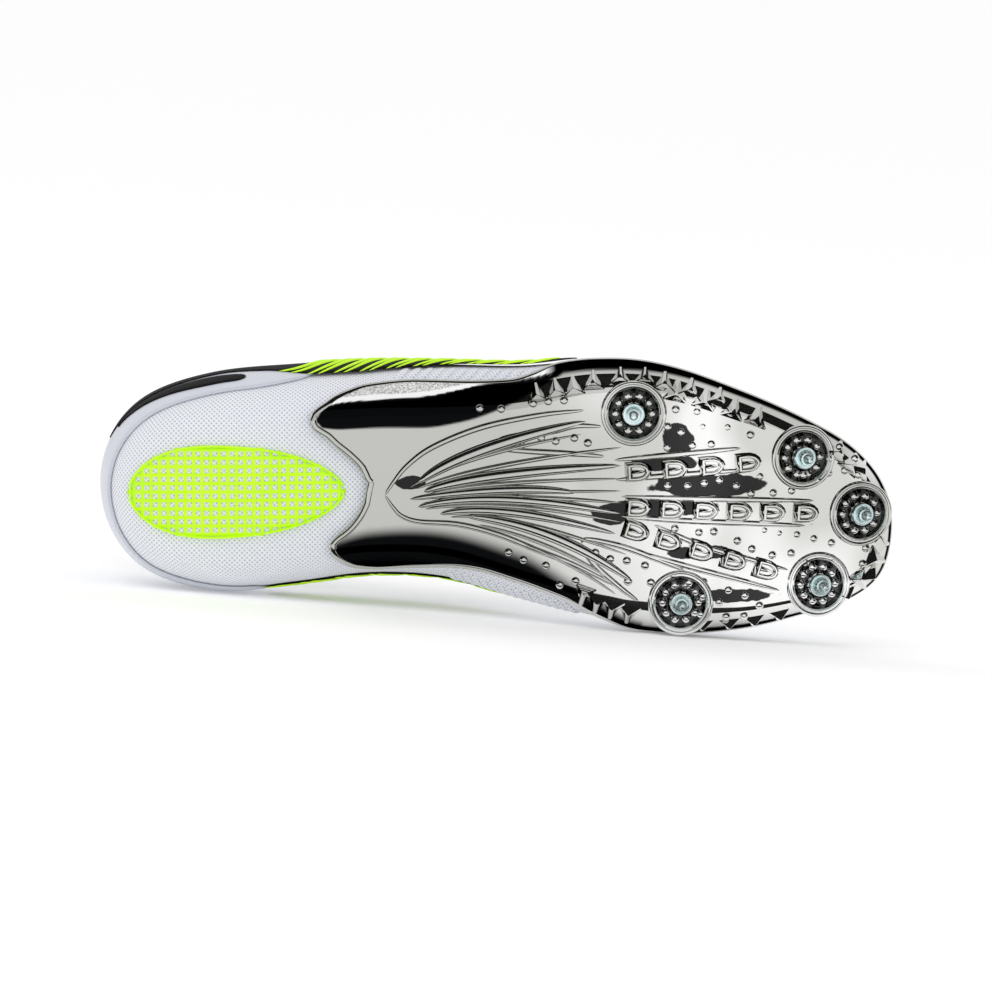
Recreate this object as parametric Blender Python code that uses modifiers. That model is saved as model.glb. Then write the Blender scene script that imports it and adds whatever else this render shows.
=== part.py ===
"""Track spike shoe for the right foot, lying on its medial side as on a floor.

The shoe is modelled upright in its own frame: X runs from heel to toe, +Y is the medial side and
+Z is up, with the underside of the heel at Z = 0. One empty then lays the whole shoe on its side,
on the edge of its sole and the side of its upper.
Every shell follows one surface, the outside of the upper, which is a ring of half-sections (ribs)
that stand round a spine from the heel, along the lateral side to the toe and back.
"""

from collections import namedtuple
from math import cos, pi, radians, sin

import bmesh
import bpy
import numpy as np
from mathutils import Matrix, Vector

# Driving sizes, in metres
shoe_length = 0.280
heel_width = 0.0755
ball_width = 0.0940
heel_height = 0.070
instep_height = 0.080
toe_spring = 0.016
arch_lift = 0.006
upper_wall = 0.0016
gap = 0.0003

throat_length = 0.076
throat_half_front = 0.010
throat_half_rear = 0.017
throat_rounding = 0.012
floor_opening_rounding = 0.030
lasting_margin = 0.011

plate_wall = 0.0020
plate_rim_ease = 0.0002

well_diameter = 0.0245
well_bore = 0.0195
well_height = 0.0012
well_depth = 0.0008
boss_diameter = 0.0098
stud_diameter = 0.0050
stud_length = 0.0018
spike_flange_diameter = 0.0078
spike_flange_height = 0.0016
spike_length = 0.0066
spike_tip_diameter = 0.0016

tooth_side = 0.0072
tooth_height = 0.0044
tooth_sunk = 0.0006
lug_length = 0.0092
lug_width = 0.0064
lug_height = 0.0028
fan_rib_height = 0.0010
sunk = 0.0012

heel_pad_length = 0.0762
heel_pad_width = 0.0330
heel_pad_thickness = 0.0013

counter_wall = 0.0009
eyestay_wall = 0.0009
eyestay_width = 0.0125
eyelet_pairs = 6
eyelet_inset = 0.0062
eyelet_diameter = 0.0040
lace_width = 0.0056
lace_thickness = 0.0012

tongue_wall = 0.0028
tongue_overlap = 0.0085
tongue_tab = 0.024
tongue_toe_reach = 0.010
tongue_ease = 0.0006
insole_heel = 0.0055
insole_toe = 0.0030
insole_inset = 0.0022

rest_flat = 0.0003

# Places along the shoe, as shares of shoe_length
throat_front_at = 0.664
floor_opening_at = 0.436
heel_pad_at = 0.175

# Density by kind of material, in kilograms per cubic metre
density = {"fabric": 300, "rubber": 1200, "plastic": 1100, "steel": 7850}

# The ribs, from the back of the heel to the tip of the toe. spine and the x columns are shares of
# shoe_length, the y columns of the width there, wide of instep_height. foot is where the flat
# underside ends and top_r where the section ends, both as shares of the way from the spine to the
# widest point. The top's height is top_heel heel heights plus top_instep instep heights. lean is the
# section's slope at its top in degrees, and full how round it is.
Rib = namedtuple(
    "Rib",
    "spine spine_y lat_x lat_y med_x med_y foot wide top_r top_heel top_instep lean full",
)
RIBS = [
    Rib(0.130, 0.000, 0.004, 0.000, 0.004, 0.000, 0.62, 0.340, 0.83, 1.00, 0.00, 84, 0.50),
    Rib(0.135, 0.000, 0.020, -0.225, 0.020, 0.235, 0.62, 0.340, 0.82, 0.99, 0.00, 84, 0.50),
    Rib(0.152, 0.000, 0.066, -0.395, 0.066, 0.410, 0.62, 0.345, 0.80, 0.92, 0.00, 84, 0.50),
    Rib(0.190, 0.000, 0.150, -0.497, 0.150, 0.497, 0.61, 0.350, 0.77, 0.80, 0.00, 84, 0.48),
    Rib(0.262, -0.012, 0.252, -0.530, 0.250, 0.470, 0.60, 0.355, 0.75, 0.70, 0.06, 80, 0.46),
    Rib(0.343, -0.040, 0.343, -0.526, 0.343, 0.420, 0.58, 0.350, 0.66, 0.32, 0.54, 62, 0.42),
    Rib(0.436, -0.036, 0.436, -0.490, 0.436, 0.408, 0.59, 0.325, 0.00, 0.00, 0.94, 0, 0.40),
    Rib(0.529, -0.010, 0.529, -0.460, 0.529, 0.452, 0.66, 0.265, 0.00, 0.00, 0.81, 0, 0.44),
    Rib(0.621, 0.010, 0.621, -0.468, 0.621, 0.492, 0.77, 0.205, 0.00, 0.00, 0.70, 0, 0.50),
    Rib(0.710, 0.035, 0.714, -0.448, 0.714, 0.526, 0.82, 0.175, 0.00, 0.00, 0.605, 0, 0.54),
    Rib(0.785, 0.070, 0.807, -0.352, 0.807, 0.512, 0.83, 0.158, 0.00, 0.00, 0.54, 0, 0.56),
    Rib(0.840, 0.100, 0.884, -0.245, 0.880, 0.468, 0.84, 0.147, 0.00, 0.00, 0.50, 0, 0.56),
    Rib(0.872, 0.118, 0.943, -0.135, 0.940, 0.418, 0.85, 0.140, 0.00, 0.00, 0.479, 0, 0.56),
    Rib(0.888, 0.128, 0.979, -0.006, 0.980, 0.325, 0.86, 0.136, 0.00, 0.00, 0.468, 0, 0.56),
    Rib(0.893, 0.132, 0.992, 0.149, 0.992, 0.149, 0.86, 0.135, 0.00, 0.00, 0.465, 0, 0.56),
]
TOE = len(RIBS) - 1
RING = 2 * TOE
THROAT_REAR = 6

# Height of the underside along the shoe: shares of arch_lift and of toe_spring
SoleLevel = namedtuple("SoleLevel", "x arch spring")
SOLE_LINE = [
    SoleLevel(0.00, 0.00, 0.00),
    SoleLevel(0.16, 0.02, 0.00),
    SoleLevel(0.28, 0.45, 0.00),
    SoleLevel(0.42, 1.00, 0.00),
    SoleLevel(0.55, 0.62, 0.00),
    SoleLevel(0.66, 0.10, 0.01),
    SoleLevel(0.74, 0.00, 0.07),
    SoleLevel(0.82, 0.00, 0.26),
    SoleLevel(0.90, 0.00, 0.58),
    SoleLevel(1.00, 0.00, 1.05),
]

# The plate along the ring: where it starts and where its rim ends, as levels of the surface. Its
# rear edge is a scoop between two tips, so it starts at the spine only in front of that.
PlateEdge = namedtuple("PlateEdge", "x start rim")
PLATE_EDGE = [
    PlateEdge(4.18, 0.97, 1.06),
    PlateEdge(4.38, 0.77, 1.21),
    PlateEdge(4.66, 0.51, 1.34),
    PlateEdge(4.88, 0.25, 1.40),
    PlateEdge(5.00, 0.00, 1.42),
    PlateEdge(5.60, 0.00, 1.47),
    PlateEdge(6.40, 0.00, 1.45),
    PlateEdge(6.90, 0.00, 1.46),
    PlateEdge(7.20, 0.00, 1.54),
    PlateEdge(7.60, 0.00, 1.72),
    PlateEdge(8.40, 0.00, 1.80),
    PlateEdge(9.20, 0.00, 1.70),
    PlateEdge(11.50, 0.00, 1.65),
    PlateEdge(13.00, 0.00, 1.68),
    PlateEdge(14.50, 0.00, 1.82),
    PlateEdge(18.80, 0.00, 1.84),
    PlateEdge(19.40, 0.00, 1.72),
    PlateEdge(19.84, 0.00, 1.45),
    PlateEdge(20.42, 0.00, 1.23),
    PlateEdge(21.30, 0.00, 1.20),
    PlateEdge(22.40, 0.00, 1.35),
    PlateEdge(22.92, 0.00, 1.39),
    PlateEdge(23.00, 0.00, 1.38),
    PlateEdge(23.06, 0.36, 1.37),
    PlateEdge(23.25, 0.72, 1.32),
    PlateEdge(23.45, 0.92, 1.20),
    PlateEdge(23.56, 0.98, 1.07),
]

# Spike wells, each with the number of lugs that lead up to it and where the first one stands
Well = namedtuple("Well", "name x y lugs lug_x lug_y")
WELLS = [
    Well("spike_1", 0.6725, -0.298, 0, 0, 0),
    Well("spike_2", 0.8856, -0.123, 4, 0.679, -0.080),
    Well("spike_3", 0.9590, 0.098, 6, 0.679, 0.056),
    Well("spike_4", 0.9059, 0.360, 5, 0.676, 0.145),
    Well("spike_5", 0.7319, 0.416, 0, 0, 0),
]

# Long ribs of the fan: start, middle, end and width, the width in metres
FanRib = namedtuple("FanRib", "x0 y0 x1 y1 x2 y2 width")
FAN_RIBS = [
    FanRib(0.402, -0.032, 0.480, -0.170, 0.612, -0.281, 0.0042),
    FanRib(0.410, 0.004, 0.500, -0.062, 0.656, -0.085, 0.0044),
    FanRib(0.392, 0.037, 0.510, -0.005, 0.600, 0.002, 0.0030),
    FanRib(0.402, 0.072, 0.510, 0.032, 0.656, 0.045, 0.0042),
    FanRib(0.430, 0.096, 0.520, 0.080, 0.650, 0.130, 0.0034),
    FanRib(0.462, 0.108, 0.570, 0.175, 0.680, 0.340, 0.0042),
]

# Edge teeth: ring position in ribs, and how far up the turned edge in degrees
Tooth = namedtuple("Tooth", "ring angle")
TEETH = [
    Tooth(7.26, 18), Tooth(7.52, 19), Tooth(7.76, 17), Tooth(8.02, 22), Tooth(8.38, 28),
    Tooth(8.70, 29), Tooth(8.96, 22), Tooth(9.12, 8), Tooth(9.30, 20), Tooth(9.50, 8),
    Tooth(9.68, 20), Tooth(9.90, 8), Tooth(10.26, 9), Tooth(11.82, 16), Tooth(12.20, 9),
    Tooth(12.48, 22), Tooth(14.42, 18), Tooth(14.76, 7), Tooth(15.14, 26), Tooth(15.42, 4),
    Tooth(15.92, 30), Tooth(17.34, 36), Tooth(17.78, 37), Tooth(18.16, 37), Tooth(18.52, 36),
    Tooth(19.50, 18), Tooth(19.72, 15), Tooth(19.92, 12), Tooth(20.10, 3),
]

# The last's surface


def smooth_step(low, high, value):
    share = np.clip((value - low) / (high - low), 0, 1)
    return share * share * (3 - 2 * share)


def through(rows, column, x):
    """A smooth, never overshooting curve through one column of a table, read at x."""
    xs = np.array([row.x for row in rows])
    ys = np.array([getattr(row, column) for row in rows])
    steps = np.diff(ys) / np.diff(xs)
    product, total = steps[1:] * steps[:-1], steps[1:] + steps[:-1]
    inner = np.where(product > 0, 2 * product / np.where(total == 0, 1, total), 0)
    slopes = np.concatenate([[0], inner, [steps[-1]]])
    x = np.asarray(x, float)
    k = np.clip(np.searchsorted(xs, x) - 1, 0, len(xs) - 2)
    width = xs[k + 1] - xs[k]
    s = np.clip((x - xs[k]) / width, 0, 1.2)
    return (
        ys[k] * (1 + 2 * s) * (1 - s) ** 2
        + ys[k + 1] * s * s * (3 - 2 * s)
        + width * (slopes[k] * s * (1 - s) ** 2 + slopes[k + 1] * s * s * (s - 1))
    )


def sole_level(x):
    """Height of the upper's underside at x."""
    share = np.asarray(x) / shoe_length
    return arch_lift * through(SOLE_LINE, "arch", share) + toe_spring * through(SOLE_LINE, "spring", share)


def width_at(share):
    return heel_width + (ball_width - heel_width) * smooth_step(0.25, 0.65, share)


def place(x_share, y_share):
    """Plan position from shares of the length and of the width there."""
    return x_share * shoe_length, y_share * width_at(x_share)


def ring_columns():
    """Each column of RIBS as a closed ring in metres: heel, lateral side, toe, medial side."""
    ring = [(rib, rib.lat_x, rib.lat_y) for rib in RIBS[: TOE + 1]]
    ring += [(rib, rib.med_x, rib.med_y) for rib in RIBS[TOE - 1 : 0 : -1]]
    columns = {
        "spine": [rib.spine * shoe_length for rib, _, _ in ring],
        "spine_y": [rib.spine_y * width_at(rib.spine) for rib, _, _ in ring],
        "x": [x * shoe_length for _, x, _ in ring],
        "y": [y * width_at(x) for _, x, y in ring],
        "foot": [rib.foot for rib, _, _ in ring],
        "wide": [rib.wide * instep_height for rib, _, _ in ring],
        "top_r": [rib.top_r for rib, _, _ in ring],
        "top": [rib.top_heel * heel_height + rib.top_instep * instep_height for rib, _, _ in ring],
        "lean": [radians(rib.lean) for rib, _, _ in ring],
        "full": [rib.full for rib, _, _ in ring],
    }
    return {name: np.array(values) for name, values in columns.items()}


COLUMNS = ring_columns()


def on_ring(column, ring):
    """A column read between the ribs, as a closed Catmull-Rom curve."""
    values = COLUMNS[column]
    ring = np.asarray(ring, float) % RING
    k = np.floor(ring).astype(int)
    s = ring - k
    before, here, after, beyond = (values[(k + step) % RING] for step in (-1, 0, 1, 2))
    return 0.5 * (
        2 * here
        + (after - before) * s
        + (2 * before - 5 * here + 4 * after - beyond) * s**2
        + (3 * here - before - 3 * after + beyond) * s**3
    )


def rib_frame(ring):
    """Spine point, widest point and the distance between them, seen in plan."""
    spine = np.stack([on_ring("spine", ring), on_ring("spine_y", ring)], -1)
    side = np.stack([on_ring("x", ring), on_ring("y", ring)], -1)
    return spine, side, np.linalg.norm(side - spine, axis=-1)


def top_reach(ring):
    """Where each section ends, as a share of the way out from the spine."""
    return np.maximum(on_ring("top_r", ring), 0)


def bezier(share, start, handle_1, handle_2, end):
    return (
        (1 - share) ** 3 * start
        + 3 * (1 - share) ** 2 * share * handle_1
        + 3 * (1 - share) * share**2 * handle_2
        + share**3 * end
    )


def rise_reach(ring, share):
    """How far out the section is, share of the way from its widest point to its top."""
    end = top_reach(ring)
    handle = end + (1 - end) * on_ring("full", ring) * np.cos(on_ring("lean", ring))
    return bezier(share, 1, 1, handle, end)


def ridge_slope(ring):
    """Rise of the vamp's ridge per metre forward, and 0 at the collar."""
    step = 0.05
    side = np.asarray(ring, float) % RING
    side = np.minimum(side, RING - side)
    middle = np.clip(side, THROAT_REAR, TOE - 2 * step)
    rise = on_ring("top", middle + step) - on_ring("top", middle - step)
    run = on_ring("spine", middle + step) - on_ring("spine", middle - step)
    return np.where(side > THROAT_REAR - 0.5, rise / run, 0)


def surface(ring, level):
    """Outside of the upper. level is 0 at the spine underneath, 1 at the edge of the flat foot,
    2 at the widest point and 3 at the section's top."""
    ring, level = np.broadcast_arrays(np.asarray(ring, float), np.asarray(level, float))
    spine, side, _ = rib_frame(ring)
    foot, wide = on_ring("foot", ring), on_ring("wide", ring)
    turn = np.clip(level - 1, 0, 1) * pi / 2
    share = np.clip(level - 2, 0, 1)
    under = np.clip(level, 0, 1) * foot + (1 - foot) * np.sin(turn)
    reach = np.where(level > 2, rise_reach(ring, share), under)
    plan = spine + reach[..., None] * (side - spine)
    low = sole_level(plan[..., 0]) + wide * (1 - np.cos(turn))

    lean, full, top = on_ring("lean", ring), on_ring("full", ring), on_ring("top", ring)
    bottom = sole_level(side[..., 0]) + wide
    ahead = (1 - top_reach(ring)) * full * np.cos(lean) * (side - spine)[..., 0]
    low_handle = bottom + full * (top - bottom)
    high_handle = top - 0.4 * np.sin(lean) * (top - bottom) + ridge_slope(ring) * ahead
    high = bezier(share, bottom, low_handle, high_handle, top)
    height = np.where(level > 2, high, low)
    return np.concatenate([plan, height[..., None]], -1)


def normal(ring, level):
    """Unit normal, pointing out of the shoe."""
    ring, level = np.broadcast_arrays(np.asarray(ring, float), np.asarray(level, float))
    total = np.zeros(ring.shape + (3,))
    low, high = np.clip(level - 2e-3, 0, 3), np.clip(level + 2e-3, 0, 3)
    for shift in (-0.04, 0.04):
        along = surface(ring + shift + 0.01, level) - surface(ring + shift - 0.01, level)
        up = surface(ring + shift, high) - surface(ring + shift, low)
        out = np.cross(along, up)
        total += out / (np.linalg.norm(out, axis=-1, keepdims=True) + 1e-15)
    return total / (np.linalg.norm(total, axis=-1, keepdims=True) + 1e-15)


def off_surface(ring, level, distance):
    """The point a distance outside the upper, or inside it where that is negative."""
    return surface(ring, level) + np.asarray(distance)[..., None] * normal(ring, level)


def level_at_reach(ring, reach):
    """The level above the widest point where the section is that far out from the spine."""
    ring, reach = np.broadcast_arrays(np.asarray(ring, float), np.asarray(reach, float))
    low, high = np.zeros(ring.shape), np.ones(ring.shape)
    for _ in range(40):
        middle = (low + high) / 2
        outside = rise_reach(ring, middle) > reach
        low, high = np.where(outside, middle, low), np.where(outside, high, middle)
    return 2 + np.where(reach <= top_reach(ring), 1, high)


def throat_front():
    return throat_front_at * shoe_length


def throat_half(x):
    """Half the throat's width at x, rounded off to nothing at its front."""
    back = np.clip((throat_front() - x) / throat_length, 0, 1)
    half = throat_half_front + (throat_half_rear - throat_half_front) * back
    bend = np.clip((throat_front() - x) / throat_rounding, 0, 1)
    return half * np.sqrt(1 - (1 - bend) ** 2)


def edge_level(ring, extra=0.0):
    """Level of the collar and throat edge. extra widens the throat."""
    spine, _, reach = rib_frame(ring)
    half = throat_half(spine[..., 0])
    wanted = np.where(half > 0, (half + extra) / reach, 0)
    return level_at_reach(ring, np.maximum(top_reach(ring), wanted))


def floor_level(ring):
    """Level of the edge of the opening underneath, which the plate closes: 0 where it is shut."""
    spine, _, reach = rib_frame(ring)
    flat = on_ring("foot", ring) * reach
    bend = np.clip((spine[..., 0] - floor_opening_at * shoe_length) / floor_opening_rounding, 0, 1)
    half = (flat - lasting_margin) * np.sqrt(1 - (1 - bend) ** 2)
    return np.clip(half / flat, 0, 1)


def ring_at(x, medial=False):
    """The ring position of the rib whose spine point is at x."""
    side = np.interp(x, COLUMNS["spine"][: TOE + 1], np.arange(TOE + 1))
    return RING - side if medial else side


def over_throat(x, aside, height):
    """A point of the vamp and its normal: aside is measured from the spine, medial positive."""
    ring = ring_at(x, medial=aside > 0)
    _, _, reach = rib_frame(ring)
    level = level_at_reach(ring, abs(aside) / reach)
    return Vector(off_surface(ring, level, height)), Vector(normal(ring, level))


# Objects and modifiers


def material(name, colour, roughness, metallic=0.0):
    made = bpy.data.materials.new(name)
    made.use_nodes = True
    shader = made.node_tree.nodes["Principled BSDF"]
    shader.inputs["Base Color"].default_value = (*colour, 1)
    shader.inputs["Roughness"].default_value = roughness
    shader.inputs["Metallic"].default_value = metallic
    return made


def collection(name, shown=True):
    made = bpy.data.collections.new(name)
    bpy.context.scene.collection.children.link(made)
    made.hide_render = not shown
    return made


def add_object(name, bm, finish, where):
    mesh = bpy.data.meshes.new(name)
    bm.to_mesh(mesh)
    bm.free()
    made = bpy.data.objects.new(name, mesh)
    if finish:
        mesh.materials.append(finish)
    where.objects.link(made)
    if where.hide_render:
        made.hide_render = True
        made.display_type = "WIRE"
    return made


def grid_sheet(points, weld=2e-5):
    """A grid whose points are given in rows; what coincides is welded."""
    rows, columns = points.shape[:2]
    bm = bmesh.new()
    bmesh.ops.create_grid(bm, x_segments=columns - 1, y_segments=rows - 1, size=1)
    bm.verts.ensure_lookup_table()
    for vert, spot in zip(bm.verts, points.reshape(-1, 3)):
        vert.co = spot
    bmesh.ops.remove_doubles(bm, verts=bm.verts, dist=weld)
    bmesh.ops.dissolve_degenerate(bm, edges=bm.edges, dist=1e-6)
    return bm


def closed_tube(sections):
    """A closed solid through a row of closed sections."""
    bm = grid_sheet(np.array(sections))
    bmesh.ops.holes_fill(bm, edges=[edge for edge in bm.edges if edge.is_boundary])
    bmesh.ops.recalc_face_normals(bm, faces=bm.faces)
    return bm


def thicken(thing, thickness, outwards):
    wall = thing.modifiers.new("wall", "SOLIDIFY")
    wall.thickness = thickness
    wall.offset = 1 if outwards else -1
    wall.use_even_offset = True
    return thing


def combine(thing, others, operation):
    """Joins to thing, or cuts from it, every object of a collection."""
    step = thing.modifiers.new(operation.lower(), "BOOLEAN")
    step.operation = operation
    step.operand_type = "COLLECTION"
    step.collection = others
    step.solver = "EXACT"
    return thing


def bake(thing, split=False):
    """Applies a piece's modifiers, so that the next step meets one plain mesh. split is for a
    mesh that is cut again, which goes more safely through plain faces."""
    graph = bpy.context.evaluated_depsgraph_get()
    mesh = bpy.data.meshes.new_from_object(thing.evaluated_get(graph))
    bm = bmesh.new()
    bm.from_mesh(mesh)
    bmesh.ops.remove_doubles(bm, verts=bm.verts, dist=2e-6)
    bmesh.ops.dissolve_degenerate(bm, edges=bm.edges, dist=1e-6)
    if split:
        bmesh.ops.triangulate(bm, faces=[face for face in bm.faces if len(face.verts) > 4])
    bm.to_mesh(mesh)
    bm.free()
    thing.modifiers.clear()
    thing.data = mesh
    return thing


def smooth_shade(thing, degrees=35):
    thing.data.shade_smooth()
    thing.data.set_sharp_from_angle(angle=radians(degrees))


def even(low, high, count):
    """count rows of levels, spread evenly between two edges that follow the ring."""
    share = np.linspace(0, 1, count)[:, None]
    return low[None, :] * (1 - share) + high[None, :] * share


def turned(name, profile, steps, where):
    """A profile of (radius, height) points turned round the z axis. It is a closed ring unless
    its first and last radius are 0."""
    bm = bmesh.new()
    rings = []
    for radius, height in profile:
        count = 1 if radius == 0 else steps
        angles = [2 * pi * k / steps for k in range(count)]
        rings.append([bm.verts.new((radius * cos(a), radius * sin(a), height)) for a in angles])
    following = rings[1:] if profile[0][0] == 0 else rings[1:] + rings[:1]
    for lower, upper in zip(rings, following):
        for k in range(steps):
            corners = [lower[k % len(lower)], lower[(k + 1) % len(lower)]]
            corners += [upper[(k + 1) % len(upper)], upper[k % len(upper)]]
            bm.faces.new(list(dict.fromkeys(corners)))
    bmesh.ops.recalc_face_normals(bm, faces=bm.faces)
    return add_object(name, bm, None, where)


# Upper: one mesh shell, open at collar, throat and under the forefoot


def make_upper(finish, where, holes):
    ring = np.linspace(0, RING, 57)
    ones = np.ones_like(ring)
    levels = np.concatenate([
        even(floor_level(ring), ones, 3),
        even(ones, 2 * ones, 5)[1:],
        even(2 * ones, edge_level(ring), 8)[1:],
    ])
    upper = add_object("upper", grid_sheet(surface(ring[None, :], levels)), finish, where)
    bake(thicken(upper, upper_wall, outwards=False))
    return bake(combine(upper, holes, "DIFFERENCE"))


# Spike plate: a thick sheet under the upper, trimmed to its outline, with ribs, lugs and teeth


def plate_face(x):
    """Height of the flat part of the plate's underside at x."""
    return sole_level(x) - gap - plate_wall


def seated(x, y):
    """A frame on the plate's underside, its z axis pointing down and out of the plate."""
    step = shoe_length / 100
    slope = (sole_level(x + step) - sole_level(x - step)) / (2 * step)
    outwards = Vector((slope, 0, -1)).normalized()
    forward = Vector((1, 0, slope)).normalized()
    frame = Matrix((forward, outwards.cross(forward), outwards)).transposed().to_4x4()
    frame.translation = Vector((x, y, plate_face(x)))
    return frame


def add_well(row, where):
    """A round disc; the recess round its middle boss is cut later."""
    radius = well_diameter / 2
    edge = (well_diameter - well_bore) / 6
    profile = [(0, -sunk), (radius, -sunk), (radius, well_height - edge), (radius - edge, well_height)]
    well = turned("well_" + row.name, profile + [(0, well_height)], 16, where)
    well.data.transform(seated(*place(row.x, row.y)))


def add_recess(row, where):
    """The bowl between the well's ring and its boss, and the blind hole for the spike's stud."""
    frame = seated(*place(row.x, row.y))
    high = well_height + well_diameter
    slope = (well_bore - boss_diameter) / 8
    groove = [(boss_diameter / 2 + slope, -well_depth), (well_bore / 2 - slope, -well_depth)]
    groove += [(well_bore / 2, well_height), (well_bore / 2, high), (boss_diameter / 2, high)]
    groove.append((boss_diameter / 2, well_height))
    turned("recess_" + row.name, groove, 16, where).data.transform(frame)
    radius = stud_diameter / 2 + gap
    floor = well_height - stud_length - gap
    hole = [(0, floor), (radius, floor), (radius, high), (0, high)]
    turned("socket_" + row.name, hole, 8, where).data.transform(frame)


def add_lugs(row, where):
    """Tapered lugs in a line, flat behind and round in front, up to just short of the well."""
    if not row.lugs:
        return
    start, end = Vector(place(row.lug_x, row.lug_y)), Vector(place(row.x, row.y))
    way = (end - start).normalized()
    end -= way * (well_diameter / 2 + lug_length * 0.75)
    outline = [(-0.5, -0.5), (0.15, -0.5), (0.42, -0.28), (0.5, 0), (0.42, 0.28), (0.15, 0.5), (-0.5, 0.5)]
    outline.append(outline[0])
    turn = Matrix.Rotation(-way.angle_signed(Vector((1, 0))), 4, "Z")
    for k in range(row.lugs):
        spot = start.lerp(end, k / (row.lugs - 1))
        sections = []
        for height, share in ((-sunk, 1.0), (lug_height, 0.66)):
            long, wide = lug_length * share, lug_width * share
            sections.append([(x * long, y * wide, height) for x, y in outline])
        lug = add_object(f"lug_{row.name}_{k}", closed_tube(sections), None, where)
        lug.data.transform(seated(spot.x, spot.y) @ turn)


def add_fan_rib(number, row, where):
    """A long low rib, pointed at both ends, that bends through its middle point."""
    start, end = Vector(place(row.x0, row.y0)), Vector(place(row.x2, row.y2))
    middle = Vector(place(row.x1, row.y1))
    control = 2 * middle - (start + end) / 2
    sections = []
    for s in np.linspace(0, 1, 5).tolist():
        centre = (1 - s) ** 2 * start + 2 * s * (1 - s) * control + s * s * end
        way = ((1 - s) * (control - start) + s * (end - control)).normalized()
        swell = max(sin(pi * s) ** 0.5, 0.15)
        side = Vector((-way.y, way.x)) * row.width / 2 * swell
        top = plate_face(centre.x) - fan_rib_height * swell
        back = plate_face(centre.x) + sunk
        left, right = centre + side, centre - side
        sections.append([(*left, back), (*left, top), (*right, top), (*right, back), (*left, back)])
    add_object(f"fan_rib_{number}", closed_tube(sections), None, where)


def add_tooth(number, row, where):
    """A three-sided pyramid on the plate's turned edge, one flat side towards the rim."""
    level = 1 + row.angle / 90
    outwards = Vector(normal(row.ring, level))
    ahead = Vector(surface(row.ring + 0.05, level) - surface(row.ring - 0.05, level)).normalized()
    frame = Matrix((ahead, outwards.cross(ahead), outwards)).transposed().to_4x4()
    frame.translation = Vector(off_surface(row.ring, level, gap + plate_wall))
    bm = bmesh.new()
    bmesh.ops.create_cone(
        bm, cap_ends=True, segments=3, radius1=tooth_side / 3**0.5 * (1 + tooth_sunk / tooth_height),
        radius2=0, depth=tooth_height + tooth_sunk,
    )
    bmesh.ops.translate(bm, verts=bm.verts, vec=(0, 0, (tooth_height - tooth_sunk) / 2))
    bmesh.ops.transform(bm, matrix=frame @ Matrix.Rotation(-pi / 2, 4, "Z"), verts=bm.verts)
    bmesh.ops.recalc_face_normals(bm, faces=bm.faces)
    add_object(f"tooth_{number}", bm, None, where)


def make_plate(finish, where):
    tips = [row.x for row in PLATE_EDGE[:4]], [row.x for row in PLATE_EDGE[-4:]]
    steep = [7.25, 7.75, RING - 8.25, RING - 7.75]
    ring = np.sort(np.concatenate([tips[0], np.arange(5, RING - 4.9, 0.5), tips[1], steep]))
    start, rim = through(PLATE_EDGE, "start", ring), through(PLATE_EDGE, "rim", ring)
    turn = np.ones_like(ring)
    levels = np.concatenate([even(start, turn, 4), even(turn, rim, 5)[1:]])
    distance = gap + np.where(levels > 1, plate_rim_ease, 0)
    sheet = grid_sheet(off_surface(ring[None, :], levels, distance), weld=5e-4)
    plate = add_object("spike_plate", sheet, finish, where)
    bake(thicken(plate, plate_wall, outwards=True), split=True)

    raised = collection("plate_raised", shown=False)
    recesses = collection("plate_recesses", shown=False)
    for row in WELLS:
        add_well(row, raised)
        add_lugs(row, raised)
        add_recess(row, recesses)
    for number, row in enumerate(FAN_RIBS):
        add_fan_rib(number, row, raised)
    for number, row in enumerate(TEETH):
        add_tooth(number, row, raised)
    bake(combine(plate, raised, "UNION"), split=True)
    return bake(combine(plate, recesses, "DIFFERENCE"))


# Spikes: a threaded stud, a flange and a stepped cone


def make_spike(row, finish, where):
    seat = well_height + gap
    flange, tip = spike_flange_diameter / 2, spike_tip_diameter / 2
    profile = [
        (0, seat - stud_length),
        (stud_diameter / 2, seat - stud_length),
        (stud_diameter / 2, seat),
        (flange, seat),
        (flange, seat + spike_flange_height),
    ]
    cone = flange * 0.72
    profile += [
        (cone, seat + spike_flange_height),
        (cone * 0.75 + tip * 0.25, seat + spike_flange_height + spike_length * 0.45),
        (cone * 0.45 + tip * 0.55, seat + spike_flange_height + spike_length * 0.45),
        (tip, seat + spike_flange_height + spike_length),
        (0, seat + spike_flange_height + spike_length),
    ]
    spike = turned(row.name, profile, 8, where)
    spike.data.transform(seated(*place(row.x, row.y)))
    spike.data.materials.append(finish)
    return spike


# Heel pad: an oval of rubber under the heel, more pointed in front


def make_heel_pad(finish, where):
    around = np.linspace(0, 2 * pi, 25)
    out = np.array([0, 0.55, 1.0])[:, None]
    x = heel_pad_at * shoe_length + out * heel_pad_length / 2 * np.cos(around)
    y = out * heel_pad_width / 2 * np.sin(around) * (1 - 0.16 * np.cos(around))
    bm = grid_sheet(np.stack([x, y, sole_level(x) - gap], -1))
    bmesh.ops.recalc_face_normals(bm, faces=bm.faces)
    bmesh.ops.reverse_faces(bm, faces=[face for face in bm.faces if face.normal.z > 0])
    pad = add_object("heel_pad", bm, finish, where)
    return bake(thicken(pad, heel_pad_thickness, outwards=True))


# Heel counter: a film moulded round the heel, above the mesh


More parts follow.
